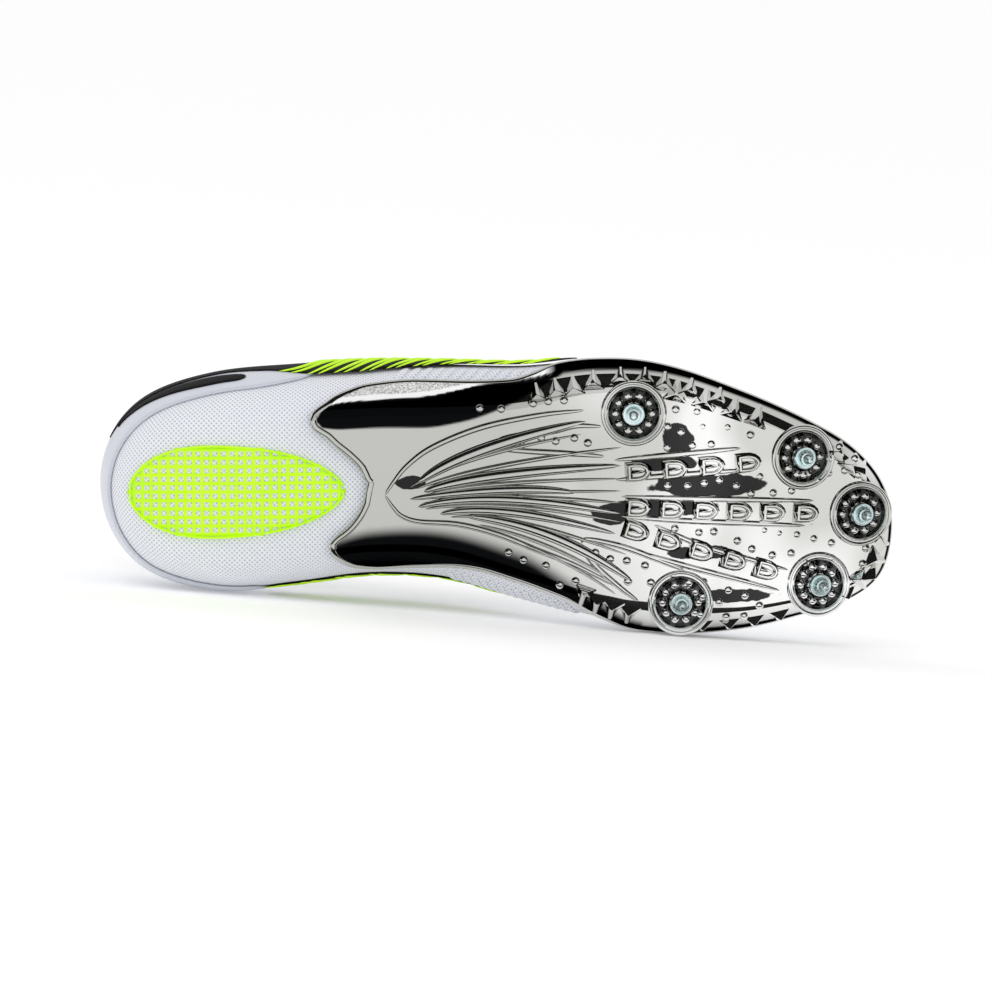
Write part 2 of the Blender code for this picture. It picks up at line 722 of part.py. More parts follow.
def make_counter(finish, where):
    ring = np.concatenate([[-3.7], np.arange(-3.5, 4.1, 0.5), [4.25, 4.4]])
    near_end = np.clip(np.minimum(ring + 3.7, 4.4 - ring) / 1.3, 0, 1)
    swell = np.maximum(np.sqrt(1 - (1 - near_end) ** 2), 0.2)
    middle = 1.92 + 0.07 * smooth_step(0, -3, ring)
    levels = even(middle - 0.40 * swell, middle + 0.38 * swell, 5)
    points = off_surface(ring[None, :], levels, gap)
    counter = add_object("heel_counter", grid_sheet(points), finish, where)
    return bake(thicken(counter, counter_wall, outwards=True))


# Eyestay: a U of film round the throat, with the lace holes


def eyestay_half_sheet(medial):
    front = throat_front() + eyestay_width * 0.8
    bend = np.sin(np.linspace(0, pi / 2, 7))
    rounded = throat_front() - throat_rounding + (front - throat_front() + throat_rounding) * bend
    side = np.concatenate([np.arange(THROAT_REAR - 0.5, ring_at(rounded[0]) - 0.2, 0.5), ring_at(rounded)])
    ring = RING - side if medial else side
    spine, _, reach = rib_frame(ring)
    ahead = np.clip((front - spine[..., 0]) / (eyestay_width * 1.6), 0, 1)
    half = (throat_half(spine[..., 0]) + eyestay_width) * np.sqrt(1 - (1 - ahead) ** 2)
    outer = level_at_reach(ring, np.maximum(half, eyestay_width / 8) / reach)
    inner = edge_level(ring, 2 * gap)
    return off_surface(ring[None, :], even(outer, inner, 3), 2 * gap)


def make_eyestay(finish, where, holes):
    lateral, medial = eyestay_half_sheet(False), eyestay_half_sheet(True)
    bm = grid_sheet(lateral)
    other = grid_sheet(medial[:, ::-1])
    half = bpy.data.meshes.new("eyestay_half")
    other.to_mesh(half)
    other.free()
    bm.from_mesh(half)
    bmesh.ops.remove_doubles(bm, verts=bm.verts, dist=6e-5)
    eyestay = add_object("eyestay", bm, finish, where)
    bake(thicken(eyestay, eyestay_wall, outwards=True))
    return bake(combine(eyestay, holes, "DIFFERENCE"))


def eyelet_stations():
    """x and distance from the spine of each pair of lace holes, front to back."""
    front = throat_front() - 0.8 * throat_rounding
    rear = throat_front() - throat_length + eyelet_inset
    return [(x, float(throat_half(x)) + eyelet_inset) for x in np.linspace(front, rear, eyelet_pairs)]


def make_eyelet_cutters(where):
    for k, (x, aside) in enumerate(eyelet_stations()):
        for side, sign in (("lateral", -1), ("medial", 1)):
            centre, outwards = over_throat(x, sign * aside, 0)
            bm = bmesh.new()
            bmesh.ops.create_cone(
                bm, cap_ends=True, segments=6, radius1=eyelet_diameter / 2,
                radius2=eyelet_diameter / 2, depth=6 * (upper_wall + eyestay_wall),
            )
            frame = Vector((0, 0, 1)).rotation_difference(outwards).to_matrix().to_4x4()
            frame.translation = centre
            bmesh.ops.transform(bm, matrix=frame, verts=bm.verts)
            add_object(f"eyelet_{side}_{k}", bm, None, where)


# Tongue: a padded strip under the throat, with a free tab above it


def make_tongue(finish, where):
    depth = -(upper_wall + gap + tongue_ease)
    front = ring_at(throat_front() + tongue_toe_reach)
    side = np.concatenate([[front], np.arange(THROAT_REAR, front - 0.15, 0.5)[::-1]])
    stations = np.interp(side, np.arange(TOE + 1), COLUMNS["spine"][: TOE + 1])
    rows = []
    for x in stations:
        near_front = np.clip((stations[0] + tongue_toe_reach / 2 - x) / (2 * tongue_toe_reach), 0, 1)
        hidden = smooth_step(stations[-1], stations[-1] + 2 * tongue_overlap, x)
        wide = throat_half(min(x, throat_front() - throat_rounding))
        wide = wide + tongue_overlap * (1.15 * hidden - 0.15)
        half = float(wide * np.sqrt(1 - (1 - near_front) ** 2))
        rows.append([over_throat(x, aside, depth)[0] for aside in np.linspace(-half, half, 7)])
    rows = np.array(rows)
    last = rows[-1]
    back = last[3] - rows[-3][3]
    back /= np.linalg.norm(back)
    tab = []
    for share in (0.3, 0.6, 0.88, 1.0):
        lifted = last + back * tongue_tab * share + np.array([0, 0, 0.12 * tongue_tab]) * share**2
        narrow = 1 + 0.45 * share - (0.40 if share == 1.0 else 0.0)
        tab.append(lifted[3] + (lifted - lifted[3]) * np.array([1, narrow, narrow]))
    bm = grid_sheet(np.concatenate([rows, tab]))
    bmesh.ops.recalc_face_normals(bm, faces=bm.faces)
    if sum(face.normal.z for face in bm.faces) < 0:
        bmesh.ops.reverse_faces(bm, faces=bm.faces)
    tongue = add_object("tongue", bm, finish, where)
    return bake(thicken(tongue, tongue_wall, outwards=False))


# Laces: flat bars that cross over the tongue, joined where they meet


def lace_bar(name, start, end, lift, where):
    """A flat bar over the throat between two lace holes, each an (x, distance from the spine)."""
    height = 4 * gap + eyestay_wall + lift * lace_thickness
    sections = []
    for s in np.linspace(0, 1, 6).tolist():
        x, aside = (a * (1 - s) + b * s for a, b in zip(start, end))
        centre, up = over_throat(x, aside, height)
        ahead = over_throat(x + (end[0] - start[0]) * 0.02, aside + (end[1] - start[1]) * 0.02, height)[0]
        side = up.cross(ahead - centre).normalized() * lace_width / 2
        top = up * lace_thickness
        corners = [centre + side, centre + side + top, centre - side + top, centre - side]
        sections.append(corners + corners[:1])
    return add_object(name, closed_tube(sections), None, where)


def make_laces(finish, where):
    holes = eyelet_stations()
    bars = collection("lace_bars", shown=False)
    laces = lace_bar("laces", (holes[0][0], -holes[0][1]), holes[0], 0.3, where)
    for k, (near, far) in enumerate(zip(holes, holes[1:])):
        lace_bar(f"bar_out_{k}", (near[0], -near[1]), far, 0, bars)
        lace_bar(f"bar_back_{k}", near, (far[0], -far[1]), 0.7, bars)
    laces.data.materials.append(finish)
    return bake(combine(laces, bars, "UNION"))


# Insole: lies on the upper's floor, thicker under the heel


def make_insole(finish, where):
    ring = np.linspace(0, RING, 43)
    spine, side, reach = rib_frame(ring)
    edge = on_ring("foot", ring) - insole_inset / reach
    out = np.array([0, 0.55, 1.0])[:, None]
    plan = spine[None] + (out * edge)[..., None] * (side - spine)[None]
    floor = sole_level(plan[..., 0]) + upper_wall + gap
    share = plan[..., 0] / shoe_length
    thick = insole_heel + (insole_toe - insole_heel) * smooth_step(0.3, 0.65, share)
    below = np.concatenate([plan, floor[..., None]], -1)
    above = np.concatenate([plan, (floor + thick)[..., None]], -1)
    bm = grid_sheet(np.concatenate([below, above[::-1]]))
    bmesh.ops.recalc_face_normals(bm, faces=bm.faces)
    return add_object("insole", bm, finish, where)


# Rest: the shoe is laid on its medial side, on the face of its outer hull that carries its weight


def volume_and_centre(mesh):
    bm = bmesh.new()
    bm.from_mesh(mesh)
    bmesh.ops.triangulate(bm, faces=bm.faces)
    volume, moment = 0.0, Vector()
    for face in bm.faces:
        a, b, c = (loop.vert.co for loop in face.loops)
        piece = a.dot(b.cross(c)) / 6
        volume += piece
        moment += piece * (a + b + c) / 4
    bm.free()
    return volume, moment / volume


def centre_of_mass(pieces):
    mass, moment = 0.0, Vector()
    for piece, kind in pieces:
        volume, centre = volume_and_centre(piece.data)
        mass += volume * density[kind]
        moment += volume * density[kind] * centre
    return moment / mass


def carries(face, outwards, centre):
    """Whether the weight falls inside a face that lies on the floor."""
    foot = centre + outwards * (face.verts[0].co - centre).dot(outwards)
    turns = []
    for loop in face.loops:
        a, b = loop.vert.co, loop.link_loop_next.vert.co
        turns.append((b - a).cross(foot - a).dot(face.normal) > 0)
    return all(turns) or not any(turns)


def resting_side(pieces):
    """The direction that points down at rest, and a point of the floor."""
    centre = centre_of_mass(pieces)
    hull = bmesh.new()
    for piece, _ in pieces:
        hull.from_mesh(piece.data)
    made = bmesh.ops.convex_hull(hull, input=hull.verts, use_existing_faces=False)
    stable = []
    for face in made["geom"]:
        if not isinstance(face, bmesh.types.BMFace):
            continue
        outwards = face.normal.copy()
        if (face.verts[0].co - centre).dot(outwards) < 0:
            outwards.negate()
        if carries(face, outwards, centre):
            stable.append((outwards.y, outwards, face.verts[0].co.copy()))
    hull.free()
    _, down, contact = max(stable, key=lambda row: row[0])
    return down, contact


def lay_down(pieces, root):
    """Turns the root so that the shoe lies on its side, with a small flat where it meets the floor."""
    down, contact = resting_side(pieces)
    up = -down
    ahead = (Vector((1, 0, 0)) - up * up.x).normalized()
    turn = Matrix((ahead, up.cross(ahead), up)).to_4x4()
    floor = contact + up * rest_flat
    for piece, _ in pieces:
        bm = bmesh.new()
        bm.from_mesh(piece.data)
        if min((vert.co - floor).dot(up) for vert in bm.verts) < 0:
            everything = bm.verts[:] + bm.edges[:] + bm.faces[:]
            bmesh.ops.bisect_plane(bm, geom=everything, plane_co=floor, plane_no=up, clear_inner=True)
            bmesh.ops.holes_fill(bm, edges=[edge for edge in bm.edges if edge.is_boundary])
            bm.to_mesh(piece.data)
        bm.free()
    corners = np.array([turn @ vert.co for piece, _ in pieces for vert in piece.data.vertices])
    middle = (corners.min(0) + corners.max(0)) / 2
    root.matrix_world = Matrix.Translation((-middle[0], -middle[1], -(turn @ floor).z)) @ turn
    for piece, _ in pieces:
        piece.parent = root


def main():
    for thing in list(bpy.data.objects):
        bpy.data.objects.remove(thing)
    shoe = collection("track_spike_shoe")
    holes = collection("eyelet_cutters", shown=False)

    mesh_white = material("mesh_white", (0.80, 0.81, 0.85), 0.8)
    chrome = material("chrome_plated", (0.78, 0.78, 0.76), 0.06, metallic=1.0)
    steel = material("spike_steel", (0.62, 0.74, 0.75), 0.25, metallic=1.0)
    lime = material("lime_rubber", (0.55, 0.90, 0.02), 0.55)
    grey_film = material("grey_film", (0.66, 0.69, 0.73), 0.4)
    black_film = material("black_film", (0.02, 0.02, 0.025), 0.45)
    black_textile = material("black_textile", (0.025, 0.025, 0.03), 0.85)
    lace_textile = material("lace_textile", (0.80, 0.81, 0.85), 0.8)
    insole_textile = material("insole_textile", (0.05, 0.05, 0.055), 0.85)

    make_eyelet_cutters(holes)
    pieces = [
        (make_upper(mesh_white, shoe, holes), "fabric"),
        (make_plate(chrome, shoe), "plastic"),
        (make_heel_pad(lime, shoe), "rubber"),
        (make_counter(grey_film, shoe), "plastic"),
        (make_eyestay(black_film, shoe, holes), "plastic"),
        (make_tongue(black_textile, shoe), "fabric"),
        (make_laces(lace_textile, shoe), "fabric"),
        (make_insole(insole_textile, shoe), "fabric"),
    ]
    pieces += [(make_spike(row, steel, shoe), "steel") for row in WELLS]

    root = bpy.data.objects.new("shoe_on_its_side", None)
    shoe.objects.link(root)
    lay_down(pieces, root)
    for piece, _ in pieces:
        smooth_shade(piece)


main()
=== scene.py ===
"""Track spike shoe for the right foot, as seen from below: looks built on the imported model."""

from collections import namedtuple
from functools import partial
from math import cos, pi, radians, sin

import bmesh
import bpy
import numpy as np
from mathutils import Matrix, Vector


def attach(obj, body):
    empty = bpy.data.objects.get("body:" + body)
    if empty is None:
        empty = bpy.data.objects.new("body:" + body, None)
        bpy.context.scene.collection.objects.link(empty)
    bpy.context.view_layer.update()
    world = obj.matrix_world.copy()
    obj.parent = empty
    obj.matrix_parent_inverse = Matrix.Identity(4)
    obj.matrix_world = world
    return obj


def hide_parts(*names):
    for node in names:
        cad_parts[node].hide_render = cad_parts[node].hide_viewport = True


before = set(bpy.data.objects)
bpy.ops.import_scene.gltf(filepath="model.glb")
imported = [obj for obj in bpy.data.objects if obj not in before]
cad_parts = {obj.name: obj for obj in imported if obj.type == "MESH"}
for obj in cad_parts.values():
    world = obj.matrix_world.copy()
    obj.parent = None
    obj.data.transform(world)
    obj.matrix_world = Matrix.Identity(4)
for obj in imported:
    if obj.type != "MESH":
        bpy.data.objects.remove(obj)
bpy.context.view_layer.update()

# Plate shell: the sheet under forefoot and waist, moulded in stiff nylon, chrome-plated and bonded
# to the upper. It wraps up round the edge of the foot, and the wells go through it. It follows the
# last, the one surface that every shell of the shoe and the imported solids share.
mm = 0.001
gap, plate_wall, plate_rim_ease, well_opening = 0.3 * mm, 2.0 * mm, 0.2 * mm, 9.9 * mm
shoe_length, heel_width, ball_width = 280 * mm, 75.5 * mm, 94 * mm
heel_height, instep_height, toe_spring, arch_lift = 70 * mm, 80 * mm, 16 * mm, 6 * mm
# In the shoe's own frame X runs from heel to toe, +Y is the medial side and +Z is up. LAID turns
# the shoe onto its medial side on the floor.
LAID = Matrix((
    (0.996268, 0.086198, -0.004503, -0.14014),
    (0.0, 0.052173, 0.998638, -0.035699),
    (0.086316, -0.994911, 0.051978, 0.03319),
    (0.0, 0.0, 0.0, 1.0),
))


def table(columns, *rows):
    """Rows with named columns."""
    Row = namedtuple("Row", columns)
    return [Row(*row) for row in rows]


# The last's ribs from heel to toe: a spine underneath and the widest point on the lateral and the
# medial side, as shares of length and width, then the section's own shape.
RIBS = table(
    "spine spine_y lat_x lat_y med_x med_y foot wide top_r top_heel top_instep lean full",
    (0.130, 0.000, 0.004, 0.000, 0.004, 0.000, 0.62, 0.340, 0.83, 1.00, 0.00, 84, 0.50),
    (0.135, 0.000, 0.020, -0.225, 0.020, 0.235, 0.62, 0.340, 0.82, 0.99, 0.00, 84, 0.50),
    (0.152, 0.000, 0.066, -0.395, 0.066, 0.410, 0.62, 0.345, 0.80, 0.92, 0.00, 84, 0.50),
    (0.190, 0.000, 0.150, -0.497, 0.150, 0.497, 0.61, 0.350, 0.77, 0.80, 0.00, 84, 0.48),
    (0.262, -0.012, 0.252, -0.530, 0.250, 0.470, 0.60, 0.355, 0.75, 0.70, 0.06, 80, 0.46),
    (0.343, -0.040, 0.343, -0.526, 0.343, 0.420, 0.58, 0.350, 0.66, 0.32, 0.54, 62, 0.42),
    (0.436, -0.036, 0.436, -0.490, 0.436, 0.408, 0.59, 0.325, 0.00, 0.00, 0.94, 0, 0.40),
    (0.529, -0.010, 0.529, -0.460, 0.529, 0.452, 0.66, 0.265, 0.00, 0.00, 0.81, 0, 0.44),
    (0.621, 0.010, 0.621, -0.468, 0.621, 0.492, 0.77, 0.205, 0.00, 0.00, 0.70, 0, 0.50),
    (0.710, 0.035, 0.714, -0.448, 0.714, 0.526, 0.82, 0.175, 0.00, 0.00, 0.605, 0, 0.54),
    (0.785, 0.070, 0.807, -0.352, 0.807, 0.512, 0.83, 0.158, 0.00, 0.00, 0.54, 0, 0.56),
    (0.840, 0.100, 0.884, -0.245, 0.880, 0.468, 0.84, 0.147, 0.00, 0.00, 0.50, 0, 0.56),
    (0.872, 0.118, 0.943, -0.135, 0.940, 0.418, 0.85, 0.140, 0.00, 0.00, 0.479, 0, 0.56),
    (0.888, 0.128, 0.979, -0.006, 0.980, 0.325, 0.86, 0.136, 0.00, 0.00, 0.468, 0, 0.56),
    (0.893, 0.132, 0.992, 0.149, 0.992, 0.149, 0.86, 0.135, 0.00, 0.00, 0.465, 0, 0.56),
)
TOE = len(RIBS) - 1
RING = 2 * TOE
THROAT_REAR = 6
SOLE_LINE = table(
    "x arch spring",
    (0.00, 0.00, 0.00), (0.16, 0.02, 0.00), (0.28, 0.45, 0.00), (0.42, 1.00, 0.00), (0.55, 0.62, 0.00),
    (0.66, 0.10, 0.01), (0.74, 0.00, 0.07), (0.82, 0.00, 0.26), (0.90, 0.00, 0.58), (1.00, 0.00, 1.05),
)


def smooth_step(low, high, value):
    share = np.clip((value - low) / (high - low), 0, 1)
    return share * share * (3 - 2 * share)


def through(rows, column, x):
    """A smooth, never overshooting curve through one column of a table, read at x."""
    xs = np.array([row.x for row in rows])
    ys = np.array([getattr(row, column) for row in rows])
    steps = np.diff(ys) / np.diff(xs)
    product, total = steps[1:] * steps[:-1], steps[1:] + steps[:-1]
    inner = np.where(product > 0, 2 * product / np.where(total == 0, 1, total), 0)
    slopes = np.concatenate([[0], inner, [steps[-1]]])
    x = np.asarray(x, float)
    k = np.clip(np.searchsorted(xs, x) - 1, 0, len(xs) - 2)
    width = xs[k + 1] - xs[k]
    s = np.clip((x - xs[k]) / width, 0, 1.2)
    return (
        ys[k] * (1 + 2 * s) * (1 - s) ** 2
        + ys[k + 1] * s * s * (3 - 2 * s)
        + width * (slopes[k] * s * (1 - s) ** 2 + slopes[k + 1] * s * s * (s - 1))
    )


def sole_level(x):
    share = np.asarray(x) / shoe_length
    return arch_lift * through(SOLE_LINE, "arch", share) + toe_spring * through(SOLE_LINE, "spring", share)


def width_at(share):
    return heel_width + (ball_width - heel_width) * smooth_step(0.25, 0.65, share)


def place(x_share, y_share):
    """Metres from a share of the length and a share of the width there."""
    return x_share * shoe_length, y_share * width_at(x_share)


def ring_columns():
    """Each column of RIBS as a closed ring in metres: heel, lateral side, toe, medial side."""
    ring = [(rib, rib.lat_x, rib.lat_y) for rib in RIBS]
    ring += [(rib, rib.med_x, rib.med_y) for rib in RIBS[-2:0:-1]]
    columns = {
        "spine": [rib.spine * shoe_length for rib, _, _ in ring],
        "spine_y": [rib.spine_y * width_at(rib.spine) for rib, _, _ in ring],
        "x": [x * shoe_length for _, x, _ in ring],
        "y": [y * width_at(x) for _, x, y in ring],
        "wide": [rib.wide * instep_height for rib, _, _ in ring],
        "top": [rib.top_heel * heel_height + rib.top_instep * instep_height for rib, _, _ in ring],
        "lean": [radians(rib.lean) for rib, _, _ in ring],
    }
    for name in ("foot", "top_r", "full"):
        columns[name] = [getattr(rib, name) for rib, _, _ in ring]
    return {name: np.array(values) for name, values in columns.items()}


COLUMNS = ring_columns()


def on_ring(column, ring):
    """A column read between the ribs, as a smooth closed curve."""
    values = COLUMNS[column]
    ring = np.asarray(ring, float) % RING
    k = np.floor(ring).astype(int)
    return smooth_between(*(values[(k + step) % RING] for step in (-1, 0, 1, 2)), ring - k)


def smooth_between(before, here, after, beyond, s):
    """A value between here and after, on a smooth curve through all four."""
    return 0.5 * (
        2 * here
        + (after - before) * s
        + (2 * before - 5 * here + 4 * after - beyond) * s**2
        + (3 * here - before - 3 * after + beyond) * s**3
    )


def rib_frame(ring):
    spine = np.stack([on_ring("spine", ring), on_ring("spine_y", ring)], -1)
    side = np.stack([on_ring("x", ring), on_ring("y", ring)], -1)
    return spine, side, np.linalg.norm(side - spine, axis=-1)


def top_reach(ring):
    return np.maximum(on_ring("top_r", ring), 0)


def curve(share, start, handle_1, handle_2, end):
    """A curve from start to end that leaves and arrives along its two handles."""
    return (
        (1 - share) ** 3 * start
        + 3 * (1 - share) ** 2 * share * handle_1
        + 3 * (1 - share) * share**2 * handle_2
        + share**3 * end
    )


def rise_reach(ring, share):
    """How far the section's upper part reaches out from the spine, as a share of the side."""
    end = top_reach(ring)
    handle = end + (1 - end) * on_ring("full", ring) * np.cos(on_ring("lean", ring))
    return curve(share, 1, 1, handle, end)


def ridge_slope(ring):
    """How steeply the section's top climbs along the shoe, ahead of the collar."""
    step = 0.05
    side = np.asarray(ring, float) % RING
    side = np.minimum(side, RING - side)
    middle = np.clip(side, THROAT_REAR, TOE - 2 * step)
    rise = on_ring("top", middle + step) - on_ring("top", middle - step)
    run = on_ring("spine", middle + step) - on_ring("spine", middle - step)
    return np.where(side > THROAT_REAR - 0.5, rise / run, 0)


def surface(ring, level):
    """The last's surface. ring runs round the shoe from rib to rib, and level up the section: 0 at
    the spine underneath, 1 at the edge of the flat foot, 2 at the widest point and 3 at the top."""
    ring, level = np.broadcast_arrays(np.asarray(ring, float), np.asarray(level, float))
    spine, side, _ = rib_frame(ring)
    foot, wide = on_ring("foot", ring), on_ring("wide", ring)
    turn = np.clip(level - 1, 0, 1) * pi / 2
    share = np.clip(level - 2, 0, 1)
    under = np.clip(level, 0, 1) * foot + (1 - foot) * np.sin(turn)
    reach = np.where(level > 2, rise_reach(ring, share), under)
    plan = spine + reach[..., None] * (side - spine)
    low = sole_level(plan[..., 0]) + wide * (1 - np.cos(turn))
    lean, full, top = on_ring("lean", ring), on_ring("full", ring), on_ring("top", ring)
    bottom = sole_level(side[..., 0]) + wide
    ahead = (1 - top_reach(ring)) * full * np.cos(lean) * (side - spine)[..., 0]
    low_handle = bottom + full * (top - bottom)
    high_handle = top - 0.4 * np.sin(lean) * (top - bottom) + ridge_slope(ring) * ahead
    high = curve(share, bottom, low_handle, high_handle, top)
    return np.concatenate([plan, np.where(level > 2, high, low)[..., None]], -1)


def normal(ring, level):
    ring, level = np.broadcast_arrays(np.asarray(ring, float), np.asarray(level, float))
    total = np.zeros(ring.shape + (3,))
    low, high = np.clip(level - 2e-3, 0, 3), np.clip(level + 2e-3, 0, 3)
    for shift in (-0.04, 0.04):
        along = surface(ring + shift + 0.01, level) - surface(ring + shift - 0.01, level)
        up = surface(ring + shift, high) - surface(ring + shift, low)
        out = np.cross(along, up)
        total += out / (np.linalg.norm(out, axis=-1, keepdims=True) + 1e-15)
    return total / (np.linalg.norm(total, axis=-1, keepdims=True) + 1e-15)


def on_plate(x, y):
    """A point on the flat of the plate's underside."""
    x = np.asarray(x, float)
    return np.stack([x, np.asarray(y, float) + 0 * x, sole_level(x) - gap - plate_wall], -1)


def sheet(points, uv=None, flip=False):
    """A grid of points as a shape: its points, faces and UVs."""
    rows, columns = points.shape[:2]
    index = np.arange(rows * columns).reshape(rows, columns)
    quads = np.stack([index[:-1, :-1], index[:-1, 1:], index[1:, 1:], index[1:, :-1]], -1).reshape(-1, 4)
    if flip:
        quads = quads[:, ::-1]
    if uv is None:
        uv = points[..., :2]
    return points.reshape(-1, 3), quads.tolist(), uv.reshape(-1, 2)


def laid(points):
    turn = np.array(LAID)
    return (points @ turn[:3, :3].T + turn[:3, 3]).tolist()


def shown(name, mesh):
    made = bpy.data.objects.new(name, mesh)
    bpy.context.scene.collection.objects.link(made)
    return made


def piece(name, shapes, finish, replaces=(), sharp=40, weld=1e-5, wall=0.0, attributes=None):
    starts = np.cumsum([0] + [len(points) for points, _, _ in shapes])
    points = np.concatenate([points for points, _, _ in shapes])
    uvs = np.concatenate([uv for _, _, uv in shapes])
    faces = [[k + start for k in face] for start, (_, some, _) in zip(starts, shapes) for face in some]
    mesh = bpy.data.meshes.new(name)
    mesh.from_pydata(laid(points), [], faces)
    corner = np.empty(len(mesh.loops), int)
    mesh.loops.foreach_get("vertex_index", corner)
    mesh.uv_layers.new(name="UVMap").data.foreach_set("uv", uvs[corner].astype(np.float32).ravel())
    for key, values in (attributes or {}).items():
        layer = mesh.attributes.new(key, "FLOAT", "POINT")
        layer.data.foreach_set("value", np.asarray(values, np.float32).ravel())
    bm = bmesh.new()
    bm.from_mesh(mesh)
    if weld:
        bmesh.ops.remove_doubles(bm, verts=bm.verts, dist=weld)
        bmesh.ops.dissolve_degenerate(bm, edges=bm.edges, dist=1e-7)
    bm.to_mesh(mesh)
    bm.free()
    mesh.materials.append(finish)
    mesh.shade_smooth()
    if sharp:
        mesh.set_sharp_from_angle(angle=radians(sharp))
    made = shown(name, mesh)
    if wall:
        thick = made.modifiers.new("wall", "SOLIDIFY")
        thick.thickness = abs(wall)
        thick.offset = 1 if wall > 0 else -1
        graph = bpy.context.evaluated_depsgraph_get()
        made.data = bpy.data.meshes.new_from_object(made.evaluated_get(graph))
        made.modifiers.clear()
    # What would dip under the floor is pressed flat on it, as the soft edge of the shoe is.
    spots = np.empty(len(made.data.vertices) * 3, np.float32)
    made.data.vertices.foreach_get("co", spots)
    spots[2::3] = np.maximum(spots[2::3], 0)
    made.data.vertices.foreach_set("co", spots)
    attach(made, "root")
    if replaces:
        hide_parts(*replaces)
    return made


def colour(text):
    """Linear colour from an sRGB hex."""
    parts = [int(text[k : k + 2], 16) / 255 for k in (1, 3, 5)]
    return tuple(p / 12.92 if p <= 0.04045 else ((p + 0.055) / 1.055) ** 2.4 for p in parts) + (1,)


def node(tree, kind, *sources, out=0, to=None, **settings):
    """Adds one node with its settings and links, and gives its output number out. Sources fill the
    live inputs in order: a socket is linked, a value set, None left. to is the shader's input."""
    made = tree.nodes.new("ShaderNode" + kind)
    for key, value in settings.items():
        setattr(made, key, value)
    for socket, source in zip([socket for socket in made.inputs if socket.enabled], sources):
        if isinstance(source, bpy.types.NodeSocket):
            tree.links.new(source, socket)
        elif source is not None:
            socket.default_value = colour(source) if isinstance(source, str) else source
    result = [socket for socket in made.outputs if socket.enabled][out]
    if to:
        tree.links.new(result, tree.nodes["Principled BSDF"].inputs[to])
    return result


def material(name, sockets):
    """A material with values on its shader's sockets, and the function that adds nodes to it."""
    made = bpy.data.materials.new(name)
    made.use_nodes = True
    for key, value in sockets.items():
        value = colour(value) if isinstance(value, str) else value
        made.node_tree.nodes["Principled BSDF"].inputs[key].default_value = value
    return made, partial(node, made.node_tree)


# Chrome plating over moulded nylon: a neutral mirror with faint ripples of about 14 mm, which shows
# the studio. Its colour is painted lighter towards the toe, with bright clouds: a painted reflection.
# Values on the points say where dark reflections and shade are painted, as in the waist's bands, in
# dark clouds with edges ragged at 5 mm and in the wells' bowls, and where it is grainy, with a
# painted white highlight. A noise's scale is in spots a millimetre, so its grains here are two thirds
# of a millimetre.
chrome, add = material("chrome_plating", {})
dark, matt, patch = (add("Attribute", out=2, attribute_name=name) for name in ("dark", "matt", "patch"))
spot = add("TexCoord", out=3)
# Painted dark reflections: the patch value gets a ragged edge from noise and joins the dark value.
patch = add("Math", patch, add("TexNoise", spot, 0.19 / mm, 2.0), operation="ADD")
painted_darkening = add("Math", dark, add("MapRange", patch, 0.84, 0.92, 0.0, 0.96), operation="MAXIMUM")
# Painted reflection: the plating's colour is painted lighter towards the toe, and in bright clouds there.
forward = add("MapRange", add("SeparateXYZ", spot), 0.0, 0.075, 0.0, 1.0)
clouds = add("MapRange", add("TexNoise", spot, 0.026 / mm, 1.0), 0.4, 0.6, 0.0, 1.0)
front = add("Mix", clouds, "#cfcfcb", "#f8f8f7", data_type="RGBA")
plated = add("Mix", forward, "#bdbdb9", front, data_type="RGBA")
# Painted dark reflections and shade: there the plating's colour goes to near black, and below its specular
# tint goes to black.
plated = add("Mix", painted_darkening, plated, "#0c0d0e", data_type="RGBA")
sparkle = add("MapRange", add("TexNoise", spot, 1.5 / mm, 2.0), 0.38, 0.62, 0.0, 1.0)
grains = add("Mix", sparkle, "#a9aba9", "#f4f4f2", data_type="RGBA")
# Painted highlight: a white line where the matt value is 0.6, between the dark band and the grainy grey.
painted_white_line = add("MapRange", matt, 0.7, 0.9, 0.0, 1.0)
grains = add("Mix", painted_white_line, "#ffffff", grains, data_type="RGBA")
matt = add("MapRange", matt, 0.1, 0.5, 0.0, 1.0)
smudge = add("Math", add("TexNoise", spot, 0.06 / mm, 3.0), 0.04, 0.004, operation="MULTIPLY_ADD")
add("Mix", matt, plated, grains, data_type="RGBA", to="Base Color")
add("Mix", painted_darkening, "#ffffff", "#000000", data_type="RGBA", to="Specular Tint")
add("Math", matt, -0.8, 1.0, operation="MULTIPLY_ADD", to="Metallic")
add("Math", matt, 0.5, smudge, operation="MULTIPLY_ADD", to="Roughness")
add("Bump", 0.3, 0.12 * mm, None, add("TexNoise", spot, 0.07 / mm, 1.0), to="Normal")

# The plate's edge along the ring: the level where it starts, and the level of its turned-up rim
PLATE_EDGE = table(
    "x start rim",
    (4.17, 0.98, 1.04), (4.20, 0.93, 1.09), (4.27, 0.87, 1.14), (4.38, 0.79, 1.20), (4.50, 0.66, 1.27),
    (4.68, 0.49, 1.34), (4.88, 0.25, 1.40), (5.00, 0.00, 1.42), (5.60, 0.00, 1.47), (6.40, 0.00, 1.45),
    (6.90, 0.00, 1.46), (7.20, 0.00, 1.54), (7.60, 0.00, 1.72), (8.40, 0.00, 1.80), (9.20, 0.00, 1.70),
    (11.50, 0.00, 1.65), (13.00, 0.00, 1.68), (14.50, 0.00, 1.82), (18.80, 0.00, 1.84), (19.40, 0.00, 1.72),
    (19.84, 0.00, 1.45), (20.42, 0.00, 1.23), (21.30, 0.00, 1.20), (22.40, 0.00, 1.35), (22.92, 0.00, 1.39),
    (23.00, 0.00, 1.38), (23.06, 0.36, 1.37), (23.22, 0.68, 1.33), (23.35, 0.82, 1.26), (23.45, 0.89, 1.18),
    (23.51, 0.94, 1.12), (23.54, 0.98, 1.06),
)
lateral_tip, lateral_full, medial_full, medial_tip, tip_ease = 4.17, 5.0, 23.0, 23.54, 1.6
